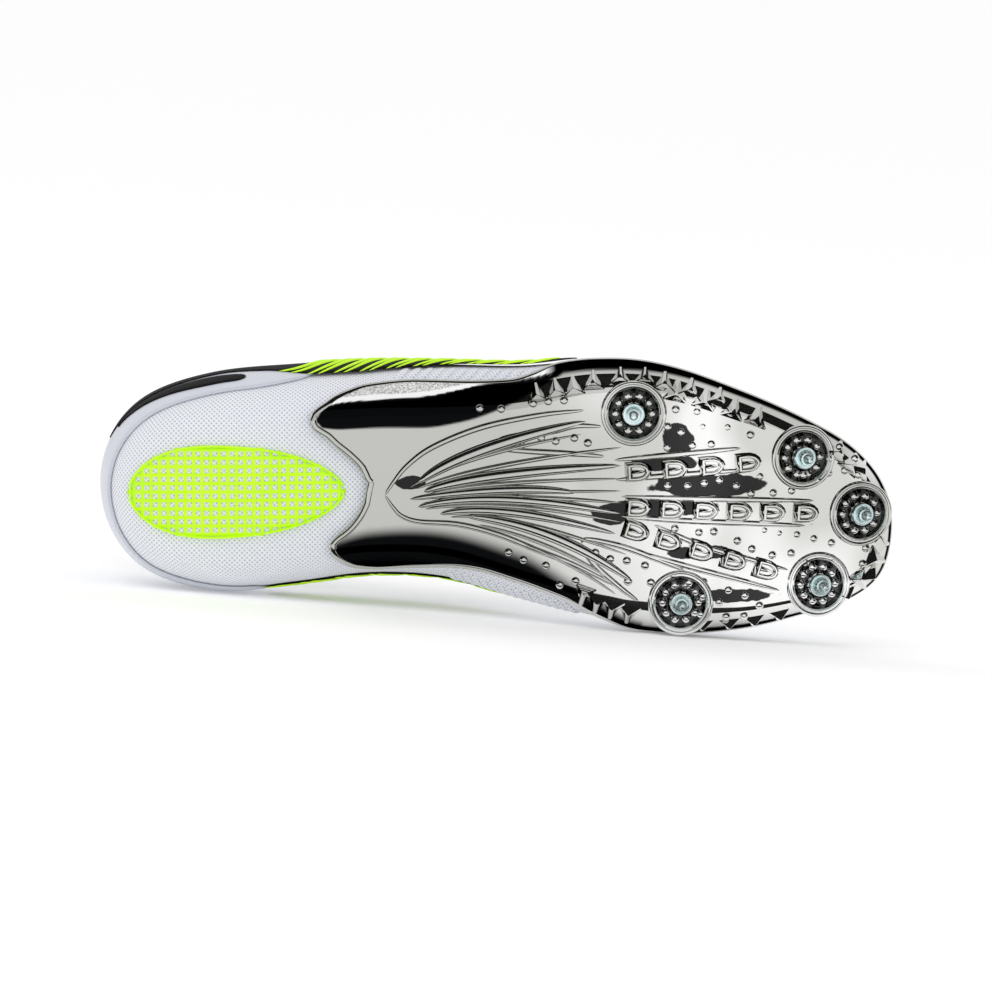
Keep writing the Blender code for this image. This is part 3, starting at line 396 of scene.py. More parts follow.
WELLS = table(
    "name x y lugs lug_x lug_y",
    ("spike_1", 0.6725, -0.298, 0, 0, 0),
    ("spike_2", 0.8856, -0.123, 4, 0.679, -0.080),
    ("spike_3", 0.9590, 0.098, 6, 0.679, 0.056),
    ("spike_4", 0.9059, 0.360, 5, 0.676, 0.145),
    ("spike_5", 0.7319, 0.416, 0, 0, 0),
)


def even(low, high, count):
    """Rows spread evenly from one row of levels to another."""
    share = np.linspace(0, 1, count)[:, None]
    return low[None, :] * (1 - share) + high[None, :] * share


plate_ring = np.concatenate([
    lateral_tip + (lateral_full - lateral_tip) * np.linspace(0, 1, 34)[:-1] ** tip_ease,
    np.linspace(lateral_full, medial_full, 433),
    medial_tip - (medial_tip - medial_full) * np.linspace(1, 0, 28)[1:] ** tip_ease,
])
start, rim = through(PLATE_EDGE, "start", plate_ring), through(PLATE_EDGE, "rim", plate_ring)
foot_edge = np.ones_like(plate_ring)
plate_levels = np.concatenate([even(start, foot_edge, 40), even(foot_edge, rim, 19)[1:]])
plate_ease = gap + plate_rim_ease * smooth_step(1.0, 1.2, plate_levels)
side_ring = np.broadcast_to(plate_ring, plate_levels.shape)
plate_points = surface(side_ring, plate_levels)
slope = (sole_level(plate_points[..., 0] + mm) - sole_level(plate_points[..., 0] - mm)) / (2 * mm)
flat_out = np.stack([slope, 0 * slope, -1 + 0 * slope], -1)
flat_out /= np.linalg.norm(flat_out, axis=-1, keepdims=True)
wrap = smooth_step(0.85, 1.0, plate_levels)[..., None]
plate_out = wrap * normal(side_ring, plate_levels) + (1 - wrap) * flat_out
plate_points = plate_points + plate_ease[..., None] * plate_out
# Bands of painted dark reflection along the waist, as levels along the ring. Past the lateral band's top
# the plate turns matt grey.
LATERAL_BAND = table(
    "x low high",
    (4.22, 0.99, 1.05), (4.30, 0.91, 1.13), (4.60, 0.87, 1.19), (5.10, 0.87, 1.21), (5.70, 0.86, 1.24),
    (6.20, 0.93, 1.32), (6.75, 1.08, 1.44), (7.20, 1.25, 1.46), (7.60, 1.44, 1.50),
)
MEDIAL_BAND = table(
    "x low high",
    (19.30, 1.50, 2.0), (20.00, 1.16, 2.0), (20.50, 1.03, 2.0), (21.00, 0.94, 2.0), (22.00, 0.92, 2.0),
    (23.00, 0.95, 2.0), (23.50, 1.02, 2.0),
)
# Painted dark reflections on the plate's flat, as clouds, in millimetres in the shoe's own frame
PAINTED_DARK_PATCHES = table(
    "x y half_long half_wide",
    (203.6, -18.5, 6.5, 8.0), (214, -2.4, 25, 5.2), (199, 5.2, 24, 4.2), (181, 7.8, 10, 4.6),
    (199, -10.5, 15, 3.6), (224, 36.8, 17, 3.0), (212, 21.5, 15, 3.0), (110, -2.8, 7, 3.0),
)


def banded(rows, soft):
    """1 inside a band of a table, 0 outside, with an edge as soft as asked towards the spine."""
    low, high = through(rows, "low", side_ring), through(rows, "high", side_ring)
    below_top = 1 - smooth_step(high - 0.01, high + 0.02, plate_levels)
    inside = smooth_step(low - soft, low + 0.02, plate_levels) * below_top
    return inside * (side_ring >= rows[0].x) * (side_ring <= rows[-1].x)


# The bands and the turned-up rim at the waist are painted dark: painted dark reflections.
plate_painted_dark = np.maximum(banded(LATERAL_BAND, 0.02), banded(MEDIAL_BAND, 0.22))
rim_painted_dark = smooth_step(1.42, 1.5, plate_levels) * (side_ring > 7) * (side_ring < 20)
plate_painted_dark = np.maximum(plate_painted_dark, rim_painted_dark)
plate_painted_patch = np.zeros_like(plate_painted_dark)
for row in PAINTED_DARK_PATCHES:
    across = (plate_points[..., 0] / mm - row.x) / row.half_long
    aside = (plate_points[..., 1] / mm - row.y) / row.half_wide
    plate_painted_patch = np.maximum(plate_painted_patch, (1 - across**2 - aside**2) * (plate_levels < 1.08))
# Past the lateral band the plating ends in a painted highlight, a white line, and then in grainy grey.
lateral_top = through(LATERAL_BAND, "high", side_ring)
plate_matt_and_highlight = 0.6 * smooth_step(lateral_top + 0.01, lateral_top + 0.03, plate_levels) * (side_ring < 8)
plate_matt_and_highlight += 0.4 * smooth_step(lateral_top + 0.07, lateral_top + 0.09, plate_levels) * (side_ring < 7)
plate_matt_and_highlight *= 1 - smooth_step(7.3, 7.6, side_ring)
points, faces, uv = sheet(plate_points)
middles = points[np.array(faces)].mean(1)
opened = np.zeros(len(faces), bool)
for row in WELLS:
    opened |= np.linalg.norm(middles - on_plate(*place(row.x, row.y)), axis=1) < well_opening
faces = [face for face, gone in zip(faces, opened) if not gone]
piece(
    "plate_shell", [(points, faces, uv)], chrome, ["spike_plate"], sharp=50,
    weld=4e-5, wall=plate_wall, attributes={"dark": plate_painted_dark, "matt": plate_matt_and_highlight, "patch": plate_painted_patch},
)

# Lip: the fine raised bead along the whole edge of the plate, moulded in one with it and plated
# with it. It stiffens the thin edge.
lip_width, lip_height, lip_sink = 2.1 * mm, 0.6 * mm, 0.1 * mm


def off_surface(ring, level, distance):
    return surface(ring, level) + np.asarray(distance)[..., None] * normal(ring, level)


def ribbon(path, ups, width, height, steps=6, sink=0.0):
    """A low rounded bead along a path: width and height may vary along it."""
    path, ups = np.asarray(path, float), np.asarray(ups, float)
    width = np.broadcast_to(width, len(path))
    height = np.broadcast_to(height, len(path))
    way = np.gradient(path, axis=0)
    way /= np.linalg.norm(way, axis=1, keepdims=True) + 1e-12
    side = np.cross(ups, way)
    side /= np.linalg.norm(side, axis=1, keepdims=True) + 1e-12
    turn = np.linspace(0, pi, steps + 1)
    across = side[None] * (np.cos(turn)[:, None, None] * width[None, :, None] / 2)
    rise = ups[None] * (np.sin(turn)[:, None, None] * height[None, :, None] - sink)
    uv = np.stack(np.broadcast_arrays(distance_along(path)[None], np.cos(turn)[:, None] * width / 2), -1)
    return sheet(path[None] + across + rise, uv, flip=True)


def distance_along(path):
    return np.concatenate([[0], np.cumsum(np.linalg.norm(np.diff(path, axis=0), axis=1))])


edge_rim = np.stack([plate_ring, plate_levels[-1]], -1)
edge_start = np.stack([plate_ring, plate_levels[0]], -1)
rear_lateral = edge_start[plate_ring <= lateral_full][::-1]
loop = np.concatenate([rear_lateral, edge_rim, edge_start[plate_ring >= medial_full][::-1]])
lip_path = off_surface(loop[:, 0], loop[:, 1], gap + plate_wall)
lip = ribbon(lip_path, normal(loop[:, 0], loop[:, 1]), lip_width, lip_height, 8, lip_sink)
piece("plate_lip", [lip], chrome)

# Fan: ridges moulded on the plate that spread from the waist towards the lugs, wide ones with
# finer ones between them, and the thin outlines of the panels in between. They stiffen the plate.
FAN = table(
    "x0 y0 x1 y1 x2 y2 width height",
    (112.6, -2.6, 134.4, -14.1, 171.4, -25.0, 4.6, 2.04),
    (110.0, -1.2, 133.0, -11.4, 170.0, -20.5, 1.61, 1.2),
    (114.8, 0.4, 140.0, -5.3, 183.7, -9.6, 4.14, 2.04),
    (112.0, -0.6, 140.0, -8.6, 184.0, -16.0, 1.84, 1.2),
    (116.0, 1.6, 140.0, -2.4, 184.0, -5.0, 1.61, 1.2),
    (109.8, 3.0, 142.8, -0.4, 168.0, 0.2, 3.45, 2.04),
    (113.0, 2.4, 145.0, 0.6, 184.0, -0.6, 1.495, 1.2),
    (114.0, 4.6, 145.0, 2.2, 184.0, 3.6, 1.84, 1.44),
    (112.6, 5.8, 142.8, 2.9, 183.7, 7.4, 3.68, 2.04),
    (115.0, 6.6, 145.0, 5.4, 184.0, 10.4, 1.61, 1.2),
    (120.4, 8.3, 145.6, 7.5, 182.0, 14.6, 3.45, 1.8),
    (124.0, 9.4, 150.0, 11.4, 186.0, 22.0, 1.61, 1.2),
    (129.4, 9.0, 159.6, 15.8, 188.0, 31.5, 4.14, 2.04),
    (134.0, 12.0, 160.0, 20.0, 184.0, 33.0, 1.495, 1.2),
    (140.0, 15.6, 162.0, 24.0, 182.0, 36.0, 1.38, 0.96),
)
outline_width, outline_height = 2.2 * mm, 0.8 * mm
OUTLINES = {
    "teardrop_top": [(101, 1.5), (104, -3), (109, -9), (118, -15.5), (135, -22.5), (155, -27), (171, -29)],
    "teardrop_low": [
        (101, 1.5), (104, 6), (107, 9), (113, 11), (127, 12), (141, 15.5), (155, 21), (168, 26), (184, 34),
    ],
    "leaf_lateral": [(140, -16.6), (142, -18.6), (150, -20.2), (160, -21.4), (168, -23.4), (177, -23.4)],
    "leaf_lateral_low": [(140, -16.6), (142, -15), (152, -14.2), (166, -13.6), (178, -12.8)],
    "leaf_medial": [(170, 18.2), (171, 21), (176, 27), (184, 34), (190, 38.5)],
    "leaf_medial_low": [(170, 18.2), (172, 16.6), (184, 19), (196, 23.4), (206, 27.5)],
    "ray_1_top": [(181.5, -11.5), (203, -13.5), (226, -15.4)],
    "ray_1_low": [(182, -4.5), (203, -6.2), (226, -7.6)],
    "ray_2_top": [(184, 1.4), (215, 2.4), (235, 3.2), (252, 4.0)],
    "ray_2_low": [(184, 8.4), (203, 9.8), (230, 11.4), (249, 12.8)],
    "ray_3_top": [(195.5, 11.4), (212, 18.8), (230, 24.4), (243, 28.4)],
    "ray_3_low": [(184, 19.4), (208, 26.4), (225, 31.2), (240, 35.6)],
}


def smooth_path(points, count):
    """A smooth path through points of the plate's flat, in millimetres."""
    points = np.array(points, float)
    run = distance_along(points)
    at = np.linspace(0, run[-1], count)
    padded = np.concatenate([[2 * points[0] - points[1]], points, [2 * points[-1] - points[-2]]])
    k = np.clip(np.searchsorted(run, at, side="right") - 1, 0, len(points) - 2)
    s = ((at - run[k]) / (run[k + 1] - run[k]))[:, None]
    return smooth_between(*(padded[k + step] for step in range(4)), s)


def tapered(share, power, least):
    """1 in the middle of a run and small at both ends; the power says how blunt they are."""
    return np.maximum(np.sin(pi * share) ** power, least)


def plate_bead(spots, width, height):
    path = on_plate(spots[:, 0] * mm, spots[:, 1] * mm)
    return ribbon(path, down(path), width, height, 8)


def down(path):
    return np.broadcast_to(np.array([0.0, 0.0, -1.0]), path.shape)


ridges = []
s = np.linspace(0, 1, 40)
for row in FAN:
    start, middle, end = np.array(row[:6]).reshape(3, 2)
    bend = 2 * middle - (start + end) / 2
    spots = np.outer((1 - s) ** 2, start) + np.outer(2 * s * (1 - s), bend) + np.outer(s * s, end)
    swell = tapered(s, 0.4, 0.05)
    ridges.append(plate_bead(spots, row.width * mm * swell, row.height * mm * swell))
for points in OUTLINES.values():
    spots = smooth_path(points, 10 * len(points))
    swell = tapered(np.linspace(0, 1, len(spots)), 0.3, 0.05)
    ridges.append(plate_bead(spots, outline_width * swell, outline_height * swell))
piece("plate_ridges", ridges, chrome)

# Wells: the seats of the pins, moulded and plated with the plate. Each is a raised ring round a
# bowl, with a ring of small bumps and a boss in the middle that holds the pin's thread.
WELL_PROFILE = [
    (12.5, -0.4), (12.45, 0.2), (12.2, 0.8), (11.85, 1.12), (11.45, 1.15), (11.05, 0.9), (10.8, 0.6),
    (10.55, 0.6), (10.3, 0.95), (10.0, 1.12), (9.7, 0.95), (9.4, 0.3), (8.9, -0.35), (8.1, -0.85),
    (7.0, -1.1), (5.6, -1.05), (4.9, -0.7), (4.5, 0.0), (4.3, 0.7), (4.1, 1.1), (2.6, 1.2),
]
BUMP_PROFILE = [(1.75, -0.3), (1.7, 0.2), (1.45, 0.7), (1.0, 1.05), (0.5, 1.22), (0.0, 1.25)]
bumps_per_well, bump_ring, bump_floor, well_size = 10, 6.4 * mm, -0.95 * mm, 0.93
# Painted shade: the bowl between these radii is darkened by this share.
bowl_inside, bowl_outside, bowl_painted_shade_strength = 4.0 * mm, 8.9 * mm, 0.92


def moved(shape, stand):
    turn = np.array(stand)
    return shape[0] @ turn[:3, :3].T + turn[:3, 3], shape[1], shape[2]


def turned(profile, steps, stand, size=1.0):
    """A profile of (radius, height) in millimetres, turned round the z axis of a frame."""
    radius, height = (np.array(profile, float) * size * mm).T[..., None]
    turn = np.linspace(0, 2 * pi, steps + 1)
    points = np.stack(np.broadcast_arrays(radius * np.cos(turn), radius * np.sin(turn), height), -1)
    return moved(sheet(points, np.stack(np.broadcast_arrays(turn[None] * 5 * mm, radius), -1)), stand)


def seated(x, y):
    """A frame on the plate's underside, its z axis pointing out of the plate."""
    step = shoe_length / 100
    slope = float(sole_level(x + step) - sole_level(x - step)) / (2 * step)
    outwards = Vector((slope, 0, -1)).normalized()
    forward = Vector((1, 0, slope)).normalized()
    made = Matrix((forward, outwards.cross(forward), outwards)).transposed().to_4x4()
    made.translation = Vector(on_plate(x, y).tolist())
    return made


wells, bowl_painted_shade = [], []
for row in WELLS:
    seat = seated(*place(row.x, row.y))
    wells.append(turned(WELL_PROFILE, 72, seat, well_size))
    # The bowl is painted dark between these radii: painted shade in the recess.
    radius = wells[-1][2][:, 1]
    bowl_painted_shade.append((radius > bowl_inside) * (radius < bowl_outside) * bowl_painted_shade_strength)
    for turn in np.arange(bumps_per_well) * 2 * pi / bumps_per_well:
        middle = Matrix.Translation((bump_ring * cos(turn), bump_ring * sin(turn), bump_floor))
        wells.append(turned(BUMP_PROFILE, 12, seat @ middle))
        bowl_painted_shade.append(np.zeros(len(wells[-1][0])))
piece("plate_wells", wells, chrome, attributes={"dark": np.concatenate(bowl_painted_shade)})

# Pins: the screw-in spikes, turned from steel in steps on a round flange with a small chamfer, and
# screwed down on the wells' bosses. Turned steel is bright and a little blue, with fine rings from
# the lathe, drawn 0.35 mm apart so that they show.
steel, add = material("spike_steel", {"Roughness": 0.22, "Metallic": 1.0})


def unrolled(add):
    """The piece's own UV in metres, along it and across it."""
    where = add("UVMap", uv_map="UVMap")
    return [add("SeparateXYZ", where, out=k) for k in (0, 1)]


def wave(add, along, pitch):
    """A wave from -1 to 1 along a coordinate, at that pitch."""
    return add("Math", add("Math", along, 2 * pi / pitch, operation="MULTIPLY"), operation="SINE")


tints = add("TexNoise", add("TexCoord", out=3), 0.3 / mm, 3.0)
add("Mix", tints, "#bcdcde", "#f3f9f9", data_type="RGBA", to="Base Color")
add("Bump", 0.5, 0.02 * mm, None, wave(add, unrolled(add)[1], 0.35 * mm), to="Normal")
PIN_PROFILE = [
    (0.0, -0.3), (2.4, -0.3), (2.4, 1.5), (3.6, 1.5), (3.9, 1.75), (3.9, 2.8), (3.6, 3.1), (2.85, 3.1),
    (2.8, 3.4), (2.45, 5.0), (2.3, 6.05), (2.1, 6.1), (1.75, 6.15), (1.7, 6.4), (1.15, 9.0), (0.8, 9.6),
    (0.5, 9.7), (0.0, 9.7),
]
for row in WELLS:
    pin = turned(PIN_PROFILE, 40, seated(*place(row.x, row.y)))
    piece("pin_" + row.name[-1], [pin], steel, [row.name], sharp=30)

# Lugs: tapered horseshoes with a raised rim and a crest inside, moulded on the plate and plated
# with it, in three rays towards the front wells. They grip between the pins.
LUG_OUTLINE = [
    (-0.50, -0.50), (-0.20, -0.52), (0.10, -0.50), (0.30, -0.40), (0.44, -0.22), (0.50, 0.0), (0.44, 0.22),
    (0.30, 0.40), (0.10, 0.50), (-0.20, 0.52), (-0.50, 0.50), (-0.50, 0.0), (-0.50, -0.50),
]
LUG_LEVELS = table(
    "height share",
    (-0.2, 1.04), (0.3, 1.0), (2.7, 0.78), (2.95, 0.72), (2.95, 0.62), (2.6, 0.56), (1.3, 0.46), (1.2, 0.0),
)
lug_length, lug_width, well_diameter = 9.6 * mm, 6.9 * mm, 24.5 * mm
crest_width, crest_height, crest_base = 1.7 * mm, 1.4 * mm, 1.1 * mm
lug = sheet(np.array([
    [(x * lug_length * level.share, y * lug_width * level.share, level.height * mm) for x, y in LUG_OUTLINE]
    for level in LUG_LEVELS
]))
run = np.linspace(-0.26, 0.24, 9) * lug_length
crest = ribbon(
    np.stack([run, 0 * run, 0 * run + crest_base], -1), np.broadcast_to([0.0, 0.0, 1.0], (9, 3)),
    crest_width * np.linspace(1.2, 0.4, 9), crest_height * np.linspace(1.0, 0.5, 9), 4,
)
lugs = []
for row in WELLS:
    start, end = Vector(place(row.lug_x, row.lug_y)), Vector(place(row.x, row.y))
    way = (end - start).normalized()
    end -= way * (well_diameter / 2 + lug_length * 0.75)
    turn = Matrix.Rotation(-way.angle_signed(Vector((1, 0))), 4, "Z")
    for k in range(row.lugs):
        middle = start.lerp(end, k / (row.lugs - 1))
        stand = seated(middle.x, middle.y) @ turn
        lugs += [moved(lug, stand), moved(crest, stand)]
piece("plate_lugs", lugs, chrome, sharp=32)

# Teeth: small three-sided pyramids round the turned-up edge, moulded on the plate and plated with
# it. Their bases hug the edge, and their tips lean outwards to grip in the bend.
TEETH = table(
    "ring angle",
    (7.26, 18), (7.52, 19), (7.76, 17), (8.02, 22), (8.38, 28), (8.70, 29), (8.96, 22), (9.12, 8),
    (9.30, 20), (9.50, 8), (9.68, 20), (9.90, 8), (10.26, 9), (11.82, 16), (12.20, 9), (12.48, 22),
    (14.42, 18), (14.76, 7), (15.14, 26), (15.42, 4), (15.92, 30), (17.34, 36), (17.78, 37),
    (18.16, 37), (18.52, 36), (19.50, 18), (19.72, 15), (19.92, 12), (20.10, 3),
)
tooth_side, tooth_height, tooth_root = 7.2 * mm, 3.2 * mm, 1.0 * mm
tooth_blunt_tip, tooth_sharp_tip, tooth_spread = 0.9 * mm, 0.3 * mm, 1.3
teeth = []
for row in TEETH:
    level = 1 + row.angle / 90
    outwards = Vector(normal(row.ring, level).tolist())
    ahead = Vector((surface(row.ring + 0.05, level) - surface(row.ring - 0.05, level)).tolist())
    ahead = (ahead - outwards * ahead.dot(outwards)).normalized()
    stand = Matrix((ahead, outwards.cross(ahead), outwards)).transposed().to_4x4()
    stand.translation = Vector(off_surface(row.ring, level, gap + plate_wall).tolist())
    lean = stand.to_3x3().inverted() @ (outwards * 0.35 + Vector((0, 0, -0.65)))
    lean = lean * (tooth_height / lean.z)
    tip = tooth_blunt_tip if 7.9 < row.ring < 12 else tooth_sharp_tip
    corners = []
    for radius, height, shift, bevel in (
        (tooth_side / 3**0.5 * tooth_spread, -tooth_root, (0, 0), 0.07), (tip, tooth_height, lean, 0.14),
    ):
        for angle in [2 * pi * k / 3 + pi / 2 + nudge for k in range(3) for nudge in (-bevel, bevel)]:
            corners.append((shift[0] + radius * cos(angle), shift[1] + radius * sin(angle), height))
    corners = np.array(corners)
    sides = [[k, (k + 1) % 6, 6 + (k + 1) % 6, 6 + k] for k in range(6)] + [[6, 7, 8, 9, 10, 11]]
    teeth.append(moved((corners, sides, corners[:, :2]), stand))
piece("plate_teeth", teeth, chrome, sharp=20, weld=0)

# Nubs: small domes strewn over the smooth panels between the rays, moulded on the plate and plated
# with it. A node tree spreads them at random over each panel, at least a spacing apart. Flatness
# is their height as a share of their radius.
PANELS = {
    "leaf_lateral": [(143, -18), (158, -19.8), (172, -20.6), (176, -15.4), (160, -15.6), (145, -15.8)],
    "leaf_medial": [(173, 19), (186, 21.6), (197, 26), (195, 33), (188, 34), (180, 28)],
    "lateral": [
        (199, -24), (204, -32), (218, -31), (232, -25), (235, -20), (222, -17.5), (204, -16), (198, -16),
    ],
    "between_1_2": [(200, -3.4), (222, -5.0), (250, -8), (254, -4), (252, 1.5), (230, 1), (200, 0.5)],
    "between_2_3": [
        (198, 11), (216, 12.5), (250, 15), (262, 20), (264, 25), (250, 27), (236, 23), (216, 17.5),
    ],
    "medial": [(200, 27), (214, 31), (236, 39), (236, 44), (222, 45), (212, 44), (208, 36)],
    "medial_rear": [(144, 20.5), (160, 26.5), (174, 33.5), (171, 37), (158, 31), (145, 25)],
    "lateral_rear": [(130, -30), (146, -31), (166, -34), (166, -30), (146, -27)],
    "toe_lateral": [(254, -15), (262, -17), (270, -8), (268, -3.5), (262, -2.5), (256, -3)],
    "toe_medial": [(266, 22), (273, 18), (274, 24), (268, 30)],
}
NUB_SIZES = {"Spacing": 5.0 * mm, "Radius": 1.5 * mm, "Flatness": 0.6, "Density": 400000.0}


def nub_tree():
    tree = bpy.data.node_groups.new("nubs", "GeometryNodeTree")
    tree.interface.new_socket("Geometry", in_out="INPUT", socket_type="NodeSocketGeometry")
    for name in NUB_SIZES:
        tree.interface.new_socket(name, in_out="INPUT", socket_type="NodeSocketFloat")
    tree.interface.new_socket("Geometry", in_out="OUTPUT", socket_type="NodeSocketGeometry")
    sizes, result, spread, ball, flat, put, real, dressed = map(tree.nodes.new, (
        "NodeGroupInput", "NodeGroupOutput", "GeometryNodeDistributePointsOnFaces",
        "GeometryNodeMeshIcoSphere", "ShaderNodeCombineXYZ", "GeometryNodeInstanceOnPoints",
        "GeometryNodeRealizeInstances", "GeometryNodeSetMaterial",
    ))
    spread.distribute_method = "POISSON"
    for holder, key, value in (
        (spread, "Seed", 7), (ball, "Subdivisions", 3), (flat, "X", 1), (flat, "Y", 1),
        (dressed, "Material", chrome),
    ):
        holder.inputs[key].default_value = value
    for giver, key, taker, socket in (
        (sizes, "Geometry", spread, "Mesh"), (sizes, "Spacing", spread, "Distance Min"),
        (sizes, "Density", spread, "Density Max"), (sizes, "Radius", ball, "Radius"),
        (sizes, "Flatness", flat, "Z"), (spread, "Points", put, "Points"), (ball, "Mesh", put, "Instance"),
        (spread, "Rotation", put, "Rotation"), (flat, "Vector", put, "Scale"),
        (put, "Instances", real, "Geometry"), (real, "Geometry", dressed, "Geometry"),
        (dressed, "Geometry", result, "Geometry"),
    ):
        tree.links.new(giver.outputs[key], taker.inputs[socket])
    return tree


def scattered(name, outline, tree):
    """The domes of one panel, read back from the tree as a plain mesh."""
    mesh = bpy.data.meshes.new(name)
    x, y = np.array(outline).T * mm
    mesh.from_pydata(laid(on_plate(x, y)), [], [list(range(len(outline)))])
    panel = shown(name, mesh)
    domes = panel.modifiers.new("domes", "NODES")
    domes.node_group = tree
    for socket in tree.interface.items_tree:
        if socket.name in NUB_SIZES:
            domes[socket.identifier] = NUB_SIZES[socket.name]
    graph = bpy.context.evaluated_depsgraph_get()
    made = bpy.data.meshes.new_from_object(panel.evaluated_get(graph))
    bpy.data.objects.remove(panel)
    return made


tree, nubs = nub_tree(), bmesh.new()
for name, outline in PANELS.items():
    nubs.from_mesh(scattered(name, outline, tree))
mesh = bpy.data.meshes.new("plate_nubs")
nubs.to_mesh(mesh)
nubs.free()
mesh.materials.append(chrome)
mesh.shade_smooth()
plate_nubs = shown("plate_nubs", mesh)
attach(plate_nubs, "root")

# Upper: one seamless shell of woven mesh, drawn over the last and bonded to the plate. It is open
# at the collar and the throat, and underneath inside the plate's outline.
upper_wall, lasting_margin, floor_opening_rounding = 1.6 * mm, 11 * mm, 30 * mm
floor_opening_x = 0.436 * shoe_length
throat_length, throat_half_front, throat_half_rear = 76 * mm, 10 * mm, 17 * mm
throat_rounding, throat_front_x = 12 * mm, 0.664 * shoe_length
eyelet_pairs, eyelet_inset, eyelet_hole = 6, 6.2 * mm, 1.9 * mm


def hatch(add, pitch):
    """0 to 1: threads that cross on the slant at that pitch."""
    waves = [wave(add, part, pitch * 2**0.5) for part in unrolled(add)]
    crossed = add("Math", *waves, operation="MULTIPLY")
    return add("Math", crossed, 0.5, 0.5, operation="MULTIPLY_ADD")


# Woven polyester mesh: matt and soft, pale with a touch of lavender, and darker in the openings
# between its threads. Their real pitch is under 1 mm, and is drawn at 1.25 mm so that it shows.
weave, add = material("woven_mesh", {"Roughness": 0.75, "Sheen Weight": 0.25})
threads = hatch(add, 1.25 * mm)
tone = add("TexNoise", add("TexCoord", out=3), 0.018 / mm, 3.0)
tone = add("Mix", tone, "#e6e8f0", "#f6f7fb", data_type="RGBA")
holes = add("MapRange", threads, 0.0, 0.5, 1.0, 0.0)
add("Mix", holes, tone, "#a8aebd", data_type="RGBA", to="Base Color")
add("Bump", 0.9, 0.25 * mm, None, threads, to="Normal")


def level_at_reach(ring, reach):
    ring, reach = np.broadcast_arrays(np.asarray(ring, float), np.asarray(reach, float))
    low, high = np.zeros(ring.shape), np.ones(ring.shape)
    for _ in range(40):
        middle = (low + high) / 2
        outside = rise_reach(ring, middle) > reach
        low, high = np.where(outside, middle, low), np.where(outside, high, middle)
    return 2 + np.where(reach <= top_reach(ring), 1, high)


def throat_half(x):
    """Half the throat's width at a place along the shoe, 0 ahead of it."""
    back = np.clip((throat_front_x - x) / throat_length, 0, 1)
    half = throat_half_front + (throat_half_rear - throat_half_front) * back
    bend = np.clip((throat_front_x - x) / throat_rounding, 0, 1)
    return half * np.sqrt(1 - (1 - bend) ** 2)


def edge_level(ring, extra=0.0):
    """The level of the upper's top edge, at the collar and along the throat."""
    spine, _, reach = rib_frame(ring)
    half = throat_half(spine[..., 0])
    wanted = np.where(half > 0, (half + extra) / reach, 0)
    return level_at_reach(ring, np.maximum(top_reach(ring), wanted))


def floor_level(ring):
    """The level of the opening underneath, which ends at the back where the heel is closed."""
    spine, _, reach = rib_frame(ring)
    flat = on_ring("foot", ring) * reach
    bend = np.clip((spine[..., 0] - floor_opening_x) / floor_opening_rounding, 0, 1)
    half = (flat - lasting_margin) * np.sqrt(1 - (1 - bend) ** 2)
    return np.clip(half / flat, 0, 1)


def ring_at(x, medial=False):
    side = np.interp(x, COLUMNS["spine"][: TOE + 1], np.arange(TOE + 1))
    return RING - side if medial else side


def over_throat(x, aside, height):
    """A point over the vamp and its normal: aside is measured from the spine, medial positive."""
    ring = ring_at(x, medial=aside > 0)
    _, _, reach = rib_frame(ring)
    level = level_at_reach(ring, abs(aside) / reach)
    return off_surface(ring, level, height), normal(ring, level)


heel_back, collar_half, heel_part = -15 * mm, 30 * mm, 5


def thread_uv(points, ring, from_top=False):
    """Unrolls the sections outwards from their first or last row, so that threads keep their size.
    Round the heel the rows that start at the top are laid out straight, along the collar."""
    spine, side, reach = rib_frame(ring)
    out = (side - spine) / reach[..., None]
    step = np.linalg.norm(np.diff(points, axis=0), axis=-1)
    run = np.concatenate([np.zeros((1, points.shape[1])), np.cumsum(step, axis=0)])
    if not from_top:
        return points[0][None, :, :2] + run[..., None] * out[None]
    run = run[-1:] - run
    unrolled_rows = points[-1][None, :, :2] + run[..., None] * out[None]
    from_heel = np.minimum(ring, RING - ring)
    round_heel = distance_along(surface(ring, 2.3))
    way, forward = (-1, slice(None)) if ring[0] < TOE else (1, slice(None, None, -1))
    if way > 0:
        round_heel = round_heel[-1] - round_heel
    share = round_heel / np.interp(heel_part, from_heel[forward], round_heel[forward])
    along = heel_back + (RIBS[heel_part].spine * shoe_length - heel_back) * share
    straight_rows = np.stack(np.broadcast_arrays(along[None], way * (collar_half + run)), -1)
    return np.where((from_heel < heel_part)[None, :, None], straight_rows, unrolled_rows)


EYELETS = [
    (x, float(throat_half(x)) + eyelet_inset)
    for x in np.linspace(
        throat_front_x - 0.8 * throat_rounding, throat_front_x - throat_length + eyelet_inset, eyelet_pairs
    )
]
EYELET_SPOTS = np.array([over_throat(x, way * aside, 0)[0] for x, aside in EYELETS for way in (-1, 1)])


def without_eyelets(shape, radius):
    points, faces, uv = shape
    middles = points[np.array(faces)].mean(1)
    far = np.linalg.norm(middles[:, None] - EYELET_SPOTS[None], axis=2).min(1) > radius
    return points, [face for face, keep in zip(faces, far) if keep], uv


# Where the weave's direction changes, hidden under film, black knit and the plate's rim
WEAVE_CHANGE = table(
    "x level", (0, 1.98), (7.5, 1.98), (7.8, 1.5), (19.9, 1.4), (20.9, 2.0), (28, 1.98),
)
shapes = []
for first, last in ((0, TOE), (TOE, RING)):
    ring = np.linspace(first, last, 225)
    ones, change = np.ones_like(ring), through(WEAVE_CHANGE, "level", ring)
    low = np.concatenate([even(floor_level(ring), ones, 8), even(ones, change, 15)[1:]])
    high = np.concatenate([even(change, 2.1 * ones, 7), even(2.1 * ones, edge_level(ring), 40)[1:]])
    for levels, from_top in ((low, False), (high, True)):
        points = surface(ring[None, :], levels)
        shapes.append(without_eyelets(sheet(points, thread_uv(points, ring, from_top)), eyelet_hole))
piece("upper_shell", shapes, weave, ["upper"], sharp=60, weld=3e-5, wall=-upper_wall)

